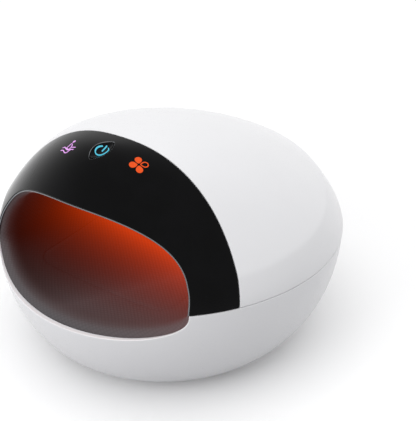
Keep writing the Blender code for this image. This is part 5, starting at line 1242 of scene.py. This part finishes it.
class MASSAGER_OT_icons(bpy.types.Operator):
    """Make the two lit touch icons"""

    bl_idname = "massager.icons"
    bl_label = "Touch Icons"
    bl_options = {"REGISTER", "UNDO"}
    # Shares of the icon's radius
    PETAL_REACH = 0.63
    PETAL_RADIUS = 0.365
    DOT_RADIUS = 0.17
    DOT = (-0.03, 0.90)
    STROKES = (
        ((-0.02, 0.76), (-0.13, 0.40), (-0.22, 0.05), (-0.33, -0.18)),
        ((0.16, 0.36), (0.32, 0.04), (0.32, -0.24), (0.26, -0.47)),
        ((-0.33, -0.18), (0.20, -0.45), (0.59, -0.49)),
        ((-0.99, -0.51), (-0.60, -0.53), (-0.09, -0.85), (0.24, -0.90), (0.42, -0.70), (0.51, -0.40)),
        ((-1.02, -0.11), (-0.74, -0.05), (-0.29, -0.32), (0.16, -0.51)),
        ((0.49, -0.10), (1.02, -0.09)),
        ((0.58, -0.42), (0.98, -0.42)),
    )
    # The petals' form
    PETAL_STEPS = 28
    PETAL_TURN = math.radians(-6)
    PINCH = 0.45  # how much a petal narrows towards the icon's middle
    TAIL = 1.35  # how much longer its inner half is
    FULL_PETALS, OPEN_PETAL = (135, 225, 315), 45

    def execute(self, context):
        skin, p = Skin(), sizes("panel")
        place = panel_place(skin)
        heat = ("heat_icon", "heat_light_guide", "orange_guide", self.petals, (p.spacing, p.setback))
        at = (p.massage_place, p.massage_setback)
        massage = ("massage_icon", "massage_light_guide", "lilac_guide", self.hand, at)
        for name, node, slot, draw, middle in (heat, massage):
            shape = bmesh.new()
            for flat, faces, loops in draw():
                top = on_panel(skin, place, flat + np.array(middle), p.proud)
                bottom = on_panel(skin, place, flat + np.array(middle), -p.inlay)
                slab(shape, top, bottom, faces, loops)
            icon = drawn_object(name, shape, finish(slot))
            finish_piece(icon, "housing", slot, node, sharp=50)
        return {"FINISHED"}

    def petal(self, degrees):
        """A rounded petal that points to the icon's middle."""
        p = sizes("panel")
        turn = self.PETAL_TURN + math.radians(degrees)
        reach, radius = p.icon_radius * self.PETAL_REACH, p.icon_radius * self.PETAL_RADIUS
        out = np.array([math.cos(turn), math.sin(turn)])
        side = np.array([-out[1], out[0]])
        points = []
        for step in range(self.PETAL_STEPS):
            corner = 2 * math.pi * step / self.PETAL_STEPS
            along, across = math.cos(corner), math.sin(corner)
            pinch = 1.0 - self.PINCH * max(-along, 0.0) ** 2
            stretch = radius * along * (1.0 if along > 0 else self.TAIL)
            points.append(out * (reach + stretch) + side * radius * across * pinch)
        return np.array(points)

    def petals(self):
        """Three full petals, and the one at the rear right drawn as a line."""
        shapes = [filled_shape(self.petal(turn)) for turn in self.FULL_PETALS]
        return shapes + [ring_shape(self.petal(self.OPEN_PETAL), sizes("panel").icon_stroke)]

    def hand(self):
        """A hand that is pressed, in a few strokes: the forearm, the palm and the fingers of both hands."""
        p = sizes("panel")
        r = p.icon_radius
        shapes = [stroke_shape(smooth_line(np.array(knots) * r, 12), p.icon_stroke) for knots in self.STROKES]
        turn = np.linspace(0.0, 2 * math.pi, 21)[:-1]
        dot = np.stack([np.cos(turn), np.sin(turn)], axis=-1) * r * self.DOT_RADIUS
        return shapes + [filled_shape(dot + np.array(self.DOT) * r)]


def smooth_line(knots, steps):
    """Points on a smooth curve through the knots."""
    knots = np.asarray(knots, float)
    if len(knots) == 2:
        return knots[0] + (knots[1] - knots[0]) * np.linspace(0.0, 1.0, steps)[:, None]
    ends = np.concatenate([[2 * knots[0] - knots[1]], knots, [2 * knots[-1] - knots[-2]]])
    made = [knots[0]]
    for before, start, end, after in zip(ends, ends[1:], ends[2:], ends[3:]):
        for step in range(1, steps + 1):
            t = step / steps
            slope = (end - before) * t
            bend = (2 * before - 5 * start + 4 * end - after) * t**2
            twist = (3 * start - before - 3 * end + after) * t**3
            made.append(0.5 * (2 * start + slope + bend + twist))
    return np.array(made)


# The mouth: the bright arch, the lining and its padded lip


def mouth_line(skin, turn, inset):
    """The mouth's edge on the housing, moved towards the mouth's middle by the inset."""
    return skin.front_at(*mouth_outline(turn, inset))


class MASSAGER_OT_mouth_trim(bpy.types.Operator):
    """Make the bright arch round the mouth's upper edge"""

    bl_idname = "massager.mouth_trim"
    bl_label = "Mouth Trim"
    bl_options = {"REGISTER", "UNDO"}
    END = 0.004  # where the arch stops, in radians from the mouth's corner
    ROUND = 0.42  # its front edges' radius, as a share of its thickness

    def execute(self, context):
        skin, m = Skin(), sizes("mouth")
        gap = sizes("housing").gap
        outer = mouth_line(skin, np.linspace(self.END, math.pi - self.END, 181), gap)
        outer[:, 2] = np.maximum(outer[:, 2], skin.parting + gap / 2)
        ahead = np.gradient(outer[:, [0, 2]], axis=0)
        ahead /= np.linalg.norm(ahead, axis=1, keepdims=True)
        inward = np.stack([-ahead[:, 1], np.zeros(len(outer)), ahead[:, 0]], axis=-1)
        thick, deep, radius = m.trim_thickness, m.trim_depth, m.trim_thickness * self.ROUND
        section = []
        for middle, start in ((thick - radius, 0), (radius, 90)):
            for step in range(6):
                corner = math.radians(start + 90 * step / 5)
                section.append((middle + radius * math.cos(corner), radius - radius * math.sin(corner)))
        section += [(0.0, deep), (thick, deep)]
        rings = []
        for at, way in zip(outer, inward):
            rings.append([at + way * i + np.array([0.0, b + gap, 0.0]) for i, b in section])
        trim = swept("mouth_arch", rings, finish("silver_trim"))
        finish_piece(trim, "housing", "silver_trim", "mouth_trim", sharp=50)
        return {"FINISHED"}


def tunnel_size(y, inset):
    """The tunnel's half width, rise and drop at a depth, moved inwards by the inset."""
    m = sizes("mouth")
    t = np.clip((y - m.straight_y) / (m.back_y - m.straight_y), 0.0, 1.0)
    part = t * t * (3 - 2 * t)
    full = ((m.half_width, m.back_width), (m.rise, m.back_rise), (m.drop, m.back_drop))
    return [size * (1 - part * (1 - back)) - inset for size, back in full]


def tunnel_point(turn, y, inset):
    """Points of the tunnel's wall at a depth, moved inwards by the inset."""
    m = sizes("mouth")
    x, height = superellipse(turn, *tunnel_size(y, inset), m.arch_exponent, m.sill_exponent)
    return np.stack(np.broadcast_arrays(x, y, height + sizes("housing").parting_height), axis=-1)


def set_uv(piece, rows, columns, across, along):
    """Writes distances across and along the cloth, in metres, as its UV map."""
    layer = piece.data.uv_layers.new(name="cloth")
    for face in piece.data.polygons:
        names = [piece.data.loops[loop].vertex_index % (rows * columns) for loop in face.loop_indices]
        wraps = max(name % columns for name in names) == columns - 1
        for loop, name in zip(face.loop_indices, names):
            row, column = divmod(name, columns)
            layer.data[loop].uv = (across[columns if wraps and column == 0 else column], along[row, column])


class MASSAGER_OT_lining(bpy.types.Operator):
    """Make the cloth lining of the mouth and its padded lip"""

    bl_idname = "massager.lining"
    bl_label = "Lining"
    bl_options = {"REGISTER", "UNDO"}
    COLUMNS = 180
    LIP_STEPS, WALL_STEPS, BACK_STEPS = 12, 41, 10
    LIP_TONE = 0.004  # how deep in the lip's paler tone and painted light start to fade
    WINDOWS = (("roof_pad", 0.098, 0.125), ("floor_pad", 0.045, 0.062))  # and the heights that they are cut between
    LIGHT_SLOT = (0.100, 0.125)
    SLOT_CORNER = 0.001

    def execute(self, context):
        skin, m, pads = Skin(), sizes("mouth"), sizes("pads")
        turn = math.pi / 2 + 2 * math.pi * (np.arange(self.COLUMNS) + 0.5) / self.COLUMNS
        edge = mouth_line(skin, turn, m.cloth_inset)[:, 1] + m.setback
        face = self.layer(turn, edge, 0.0)
        rear = self.layer(turn, edge, m.cloth)
        rows, columns = face.shape[:2]
        steps = np.linalg.norm(np.diff(face, axis=0), axis=-1)
        along = edge[None] + np.concatenate([np.zeros((1, columns)), np.cumsum(steps, axis=0)])
        lip_end = face[self.LIP_STEPS]
        around = np.linalg.norm(np.roll(lip_end, -1, axis=0) - lip_end, axis=-1)
        across = np.concatenate([[0.0], np.cumsum(around)])
        across -= across[columns // 2]
        faces = grid_faces(rows, columns, closed=True)
        faces += [tuple(reversed(quad)) for quad in grid_faces(rows, columns, rows * columns, closed=True)]
        for column in range(columns):
            beside = (column + 1) % columns
            faces.append((beside, column, rows * columns + column, rows * columns + beside))
        points = np.concatenate([face.reshape(-1, 3), rear.reshape(-1, 3)])
        lining = new_object("mouth_lining", points, faces, finish("liner_fabric"))
        set_uv(lining, rows, columns, across, along)
        # Painted light on the lip: paler at the front, fading into the tunnel
        lip = lining.data.attributes.new("lip", "FLOAT", "POINT")
        depth = np.clip((np.concatenate([along, along]) - edge - self.LIP_TONE) / m.lip_fade, 0.0, 1.0)
        lip.data.foreach_set("value", ((1 - depth) ** 2).astype(np.float32).ravel())
        mend(lining.data, WELD)
        for node, low, high in self.WINDOWS:
            outline = box_outline(node, pads.clearance, pads.corner + pads.clearance)
            cut(lining, prism("window", outline, low, high))
        outline = box_outline("heat_light_lens", sizes("housing").gap, self.SLOT_CORNER)
        cut(lining, prism("light_slot", outline, *self.LIGHT_SLOT))
        finish_piece(lining, "housing", "liner_fabric", "liner_top", "liner_base", sharp=45)
        return {"FINISHED"}

    def layer(self, turn, edge, behind):
        """One side of the cloth: rows of points from the lip's wall side to the middle of the back wall."""
        m = sizes("mouth")
        foot, reach = m.lip_foot, m.lip_height - m.lip_foot - behind
        rows = []
        for bend in np.linspace(0.0, math.pi / 2, self.LIP_STEPS + 1):
            y = edge + behind + (m.lip_depth - behind) * (1 - math.cos(bend))
            rows.append(tunnel_point(turn, y, foot + reach * math.sin(bend)))
        start, back = edge + m.lip_depth, m.back_y - m.cloth_inset + behind
        for part in (np.linspace(0.0, 1.0, self.WALL_STEPS) ** 1.5)[1:]:
            y = start + (back - m.back_radius - start) * part
            fade = np.clip((y - start) / m.lip_fade, 0.0, 1.0)
            inset = m.lip_height - behind + (m.cloth_inset - m.lip_height) * fade**2 * (3 - 2 * fade)
            rows.append(tunnel_point(turn, y, inset))
        for bend in np.linspace(0.0, math.pi / 2, self.BACK_STEPS)[1:]:
            y = back - m.back_radius * (1 - math.sin(bend))
            inset = m.cloth_inset - behind + m.back_radius * (1 - math.cos(bend))
            rows.append(tunnel_point(turn, y, inset))
        last = rows[-1]
        centre = np.array([0.0, back, (last[:, 2].max() + last[:, 2].min()) / 2])
        rows += [centre + (last - centre) * part for part in (0.8, 0.6, 0.4, 0.2, 0.0)]
        return np.array(rows)

    def cloth_area(self, rows):
        """The cloth's area, less the pads' windows."""
        total = 0.0
        for first, second in zip(rows, rows[1:]):
            width = np.linalg.norm(np.roll(first, -1, axis=0) - first, axis=-1)
            total += (width * np.linalg.norm(second - first, axis=-1)).sum()
        for node, _, _ in self.WINDOWS:
            low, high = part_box(node)
            total -= (high.x - low.x) * (high.y - low.y)
        return total


# The pads and the air cells


def round_corners(u, v, half_x, half_y, corner):
    """Bends a square grid into a rectangle with round corners."""
    x, y = u * half_x, v * half_y
    over_x = np.maximum(np.abs(x) - (half_x - corner), 0.0)
    over_y = np.maximum(np.abs(y) - (half_y - corner), 0.0)
    size = np.hypot(over_x, over_y)
    ratio = np.where(size > 1e-9, np.maximum(over_x, over_y) / np.maximum(size, 1e-9), 1.0)
    x = np.sign(x) * (np.minimum(np.abs(x), half_x - corner) + over_x * ratio)
    y = np.sign(y) * (np.minimum(np.abs(y), half_y - corner) + over_y * ratio)
    return x, y


class MASSAGER_OT_pads(bpy.types.Operator):
    """Make the roof pad and the floor pad as filled cloth cushions"""

    bl_idname = "massager.pads"
    bl_label = "Pads"
    bl_options = {"REGISTER", "UNDO"}
    BACK_SHARE = 0.985  # the back's size, as a share of the face's
    FILL = 0.6

    def execute(self, context):
        self.pad("roof_cushion", "roof_pad", "roof_press", up=False)
        self.pad("floor_cushion", "floor_pad", "floor_press", up=True)
        return {"FINISHED"}

    def pad(self, name, node, body, up):
        """A cushion: a crowned face towards the hand, drawn-in sides and a flat back."""
        p = sizes("pads")
        low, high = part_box(node)
        half_x, half_y = (high.x - low.x) / 2, (high.y - low.y) / 2
        middle_y = (high.y + low.y) / 2
        columns, rows = int(2 * half_x / p.cell), int(2 * half_y / p.cell)
        u, v = np.meshgrid(np.linspace(-1.0, 1.0, columns + 1), np.linspace(-1.0, 1.0, rows + 1))
        x, y = round_corners(u, v, half_x, half_y, p.corner)
        from_edge = (1 - np.maximum(np.abs(u), np.abs(v))) * np.minimum(half_x, half_y)
        drop = p.edge * (1 - np.sqrt(np.clip(1 - (1 - np.clip(from_edge / p.edge, 0, 1)) ** 2, 0, 1)))
        face_z = self.face_height(x, y + middle_y, sizes("mouth").cloth_inset - p.crown, up)
        face_z = face_z - drop if up else face_z + drop
        face = np.stack([x, y + middle_y, face_z], axis=-1).reshape(-1, 3)
        back_z = np.full_like(face_z, low.z if up else high.z)
        back = np.stack([x * self.BACK_SHARE, y * self.BACK_SHARE + middle_y, back_z], axis=-1).reshape(-1, 3)
        faces = double_faces(rows + 1, columns + 1)
        piece = new_object(name, np.concatenate([face, back]), faces, finish("pad_fabric"))
        fill_with_cloth(piece, range(x.size, 2 * x.size), p.swell)
        finish_piece(piece, body, "liner_fabric", node, sharp=70)

    def face_height(self, x, y, inset, up):
        """The height of the tunnel's face over each place."""
        m = sizes("mouth")
        half_width, rise, drop = tunnel_size(y, inset)
        reach, power = (-drop, m.sill_exponent) if up else (rise, m.arch_exponent)
        out = np.clip(np.abs(x) / half_width, 0.0, 0.999)
        return sizes("housing").parting_height + reach * (1 - out**power) ** (1 / power)


def fill_with_cloth(piece, pinned, cap):
    """Fills a closed piece with air as cloth, and moves each point no further than the cap."""
    frames = 20
    start = np.array([v.co for v in piece.data.vertices])
    work = piece.copy()
    work.data = piece.data.copy()
    bpy.context.scene.collection.objects.link(work)
    group = work.vertex_groups.new(name="held")
    group.add(list(pinned), 1.0, "REPLACE")
    step = work.modifiers.new("filling", "CLOTH")
    step.settings.vertex_group_mass = "held"
    step.settings.use_pressure = True
    step.settings.uniform_pressure_force = 4.0
    step.settings.effector_weights.gravity = 0.0
    step.settings.tension_stiffness = 30.0
    step.settings.compression_stiffness = 30.0
    step.settings.bending_stiffness = 1.5
    scene = bpy.context.scene
    for number in range(1, frames + 1):
        scene.frame_set(number)
    seen = work.evaluated_get(bpy.context.evaluated_depsgraph_get())
    end = np.array([v.co for v in seen.to_mesh().vertices])
    seen.to_mesh_clear()
    scene.frame_set(1)
    bpy.data.objects.remove(work, do_unlink=True)
    move = end - start
    size = np.linalg.norm(move, axis=1, keepdims=True)
    move *= np.minimum(1.0, cap / np.maximum(size, 1e-9))
    piece.data.vertices.foreach_set("co", (start + move).astype(np.float32).ravel())
    piece.data.update()


class MASSAGER_OT_air_cells(bpy.types.Operator):
    """Make the welded air cells that push the pads"""

    bl_idname = "massager.air_cells"
    bl_label = "Air Cells"
    bl_options = {"REGISTER", "UNDO"}
    SEAM = 0.0022
    COUNT = 44
    FILM = 0.0002  # half the thickness at the seam
    SHOULDER = 2.5  # how long the rounding at the seam is, in heights of the cell
    CORNER = 0.3  # as a share of the shorter half side

    def execute(self, context):
        self.cell("upper_bladder", "upper_air_cell", "roof_press", up=False)
        self.cell("lower_bladder", "lower_air_cell", "floor_press", up=True)
        return {"FINISHED"}

    def cell(self, name, node, body, up):
        """A flat bladder with a welded seam."""
        low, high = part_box(node)
        half_x, half_y = (high.x - low.x) / 2, (high.y - low.y) / 2
        middle = (low + high) / 2
        across = np.linspace(-1.0, 1.0, self.COUNT + 1)
        u, v = np.meshgrid(across, across)
        x, y = round_corners(u, v, half_x, half_y, min(half_x, half_y) * self.CORNER)
        from_edge = (1 - np.maximum(np.abs(u), np.abs(v))) * min(half_x, half_y)
        inner = np.clip((from_edge - self.SEAM) / (self.SHOULDER * (high.z - low.z)), 0.0, 1.0)
        half = self.FILM + ((high.z - low.z) / 2 - self.FILM) * np.sqrt(1 - (1 - inner) ** 2)
        points = []
        for sign in (1.0, -1.0):
            z = middle.z + sign * half
            points.append(np.stack([x + middle.x, y + middle.y, z], axis=-1).reshape(-1, 3))
        faces = double_faces(self.COUNT + 1, self.COUNT + 1)
        piece = new_object(name, np.concatenate(points), faces, finish("cell_film"))
        even_shading(piece, 60)
        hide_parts(node)
        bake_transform(piece)


# What stays as it was built


NODE_FINISHES = {
    "inner_plastic": ("chamber_top", "chamber_base", "battery_holder"),
    "film_copper": ("heating_film",),
    "plate_plastic": ("upper_press_plate", "massage_plate"),
    "warm_lens": ("heat_light_lens",),
    "board_green": ("heat_light_board", "control_board", "main_board", "charge_board"),
    "switch_steel": ("tact_switch", "charge_socket"),
    "switch_black": ("switch_plunger",),
    "steel": (
        "pump_motor",
        *("base_screw_" + corner for corner in CORNERS),
        *("shell_screw_" + corner for corner in ("side_left", "side_right", "rear_left", "rear_right")),
    ),
    "brass": ("lower_valve_plunger", "upper_valve_plunger"),
    "pump_plastic": ("pump_head", "air_manifold"),
    "valve_plastic": ("pump_rotor", "lower_valve_body", "upper_valve_body"),
    "hose_silicone": ("air_hose_lower", "pump_hose", "air_hose_upper"),
    "cell_wrap": ("battery_cell_front", "battery_cell_rear"),
    "cable_jacket": ("panel_cable", "battery_lead", "charge_lead"),
    "foot_rubber": FEET,
}


class MASSAGER_OT_inner_parts(bpy.types.Operator):
    """Give every part that stays as it was built its finish"""

    bl_idname = "massager.inner_parts"
    bl_label = "Inner Parts"
    bl_options = {"REGISTER", "UNDO"}

    def execute(self, context):
        for name, nodes in NODE_FINISHES.items():
            for node in nodes:
                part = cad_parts[node]
                part.data.materials.clear()
                part.data.materials.append(finish(name))
        return {"FINISHED"}


# The stage


# The studio's walls: azimuth and elevation in degrees, sharpness, strength
WALLS = ((-165, 45, 2, 0.82), (40, 15, 3, 0.66), (125, 20, 2, 0.55), (0, 90, 3, 0.50), (-30, 65, 6, 1.32))
LAMP_PLACE = (-0.30, -0.82, 0.42)
LAMP_SIZE = 0.6


def direction(azimuth, elevation):
    """The way to something that stands so far to the right of the front, and so high."""
    level = math.cos(elevation)
    return Vector((math.sin(azimuth) * level, -math.cos(azimuth) * level, math.sin(elevation)))


class MASSAGER_OT_stage(bpy.types.Operator):
    """Set up the camera, the lamp, the floor and the background"""

    bl_idname = "massager.stage"
    bl_label = "Stage"
    bl_options = {"REGISTER", "UNDO"}

    def execute(self, context):
        target = Vector((0.0, 0.0, sizes("housing").parting_height))
        self.camera(target)
        self.floor()
        self.lamp(target)
        self.world()
        context.scene.view_settings.view_transform = "Standard"
        return {"FINISHED"}

    def camera(self, target):
        s = sizes("stage")
        back = direction(s.azimuth, s.elevation)
        right = Vector((math.cos(s.azimuth), math.sin(s.azimuth), 0.0))
        forward = -back * math.cos(s.pan) + right * math.sin(s.pan)
        right = right * math.cos(s.pan) + back * math.sin(s.pan)
        up = right.cross(forward)
        forward, up = (
            forward * math.cos(s.tilt) + up * math.sin(s.tilt),
            up * math.cos(s.tilt) - forward * math.sin(s.tilt),
        )
        data = bpy.data.cameras.new("camera")
        data.sensor_fit = "HORIZONTAL"
        data.sensor_width = 36.0
        data.lens = s.focal_pixels / PICTURE_WIDTH * data.sensor_width
        data.clip_start = 0.01
        eye = add_object("camera", data)
        turn = Matrix((right, up, -forward)).transposed().to_4x4()
        eye.matrix_world = Matrix.Translation(target + back * s.distance) @ turn
        bpy.context.scene.camera = eye

    def floor(self):
        """A floor that is pale where it is seen, and throws less light onto the object."""
        s = sizes("stage")
        f = Finish("stage_floor")
        f.set(Roughness=0.9, Specular_IOR_Level=0.0)
        rays = f.node("LightPath").outputs
        seen = f.math("MAXIMUM", rays["Is Camera Ray"], rays["Is Glossy Ray"])
        f.link("Base Color", f.mix(seen, tuple(s.floor_bounce), tuple(s.floor)))
        lift = f.node("Emission", WHITE, f.math("MULTIPLY", seen, s.floor_lift))
        total = f.node("AddShader", f.shader.outputs[0], lift.outputs[0])
        f.feed(f.output.inputs["Surface"], total.outputs[0])
        half = s.floor_half
        points = [(-half, -half, 0.0), (half, -half, 0.0), (half, half, 0.0), (-half, half, 0.0)]
        new_object("floor", points, [(0, 1, 2, 3)], f.material, smooth=False)

    def lamp(self, target):
        """One soft lamp from the front left; the rest of the light is the studio's own."""
        s = sizes("stage")
        data = bpy.data.lights.new("front_lamp", "AREA")
        data.shape = "RECTANGLE"
        data.size = data.size_y = LAMP_SIZE
        data.energy = s.front_lamp * s.light
        lamp = add_object("front_lamp", data)
        way = target - Vector(LAMP_PLACE)
        lamp.matrix_world = Matrix.Translation(LAMP_PLACE) @ way.to_track_quat("-Z", "Y").to_matrix().to_4x4()
        lamp.visible_glossy = False

    def world(self):
        """A studio that shows white where it is seen, and whose walls light the object from all round and above."""
        world = bpy.data.worlds.new("studio")
        bpy.context.scene.world = world
        world.use_nodes = True
        w = Nodes(world.node_tree)
        w.tree.nodes.clear()
        way = w.node("TexCoord").outputs["Generated"]
        total = None
        for azimuth, elevation, sharpness, strength in WALLS:
            wall = direction(math.radians(azimuth), math.radians(elevation))
            facing = w.node("VectorMath", way, wall, operation="DOT_PRODUCT").outputs["Value"]
            part = w.math("POWER", w.math("MAXIMUM", facing, 0.0), sharpness)
            part = w.math("MULTIPLY", part, strength * sizes("stage").light)
            total = part if total is None else w.math("ADD", total, part)
        walls, plain = w.node("Background", WHITE, total), w.node("Background", WHITE)
        rays = w.node("LightPath").outputs
        seen = w.math("MAXIMUM", rays["Is Camera Ray"], rays["Is Glossy Ray"])
        seen = w.math("MAXIMUM", seen, rays["Is Transmission Ray"])
        mix = w.node("MixShader", seen, walls.outputs[0], plain.outputs[0])
        w.node("OutputWorld", mix.outputs[0])


# The panel in the sidebar


MAKERS = (
    MASSAGER_OT_lower_shell,
    MASSAGER_OT_upper_shell,
    MASSAGER_OT_visor,
    MASSAGER_OT_mouth_trim,
    MASSAGER_OT_power_button,
    MASSAGER_OT_icons,
    MASSAGER_OT_lining,
    MASSAGER_OT_pads,
    MASSAGER_OT_air_cells,
    MASSAGER_OT_inner_parts,
    MASSAGER_OT_stage,
)


class MASSAGER_PT_panel(bpy.types.Panel):
    """The massager's makers and sizes."""

    bl_idname = "MASSAGER_PT_panel"
    bl_label = "Hand Massager"
    bl_space_type = "VIEW_3D"
    bl_region_type = "UI"
    bl_category = "Massager"

    def draw(self, context):
        for maker in MAKERS:
            self.layout.operator(maker.bl_idname)
        for group, kind in GROUPS.items():
            box = self.layout.box()
            box.label(text=kind.__doc__)
            for name in kind.__annotations__:
                box.prop(getattr(context.scene, group), name)


def register():
    for group, kind in GROUPS.items():
        bpy.utils.register_class(kind)
        setattr(bpy.types.Scene, group, PointerProperty(type=kind))
    for maker in MAKERS:
        bpy.utils.register_class(maker)
    bpy.utils.register_class(MASSAGER_PT_panel)


def unregister():
    bpy.utils.unregister_class(MASSAGER_PT_panel)
    for maker in reversed(MAKERS):
        bpy.utils.unregister_class(maker)
    for group, kind in reversed(GROUPS.items()):
        delattr(bpy.types.Scene, group)
        bpy.utils.unregister_class(kind)


def main():
    register()
    for maker in MAKERS:
        group, name = maker.bl_idname.split(".")
        if getattr(getattr(bpy.ops, group), name)() != {"FINISHED"}:
            raise RuntimeError(maker.bl_label + " wasn't made")


if __name__ == "__main__":
    main()
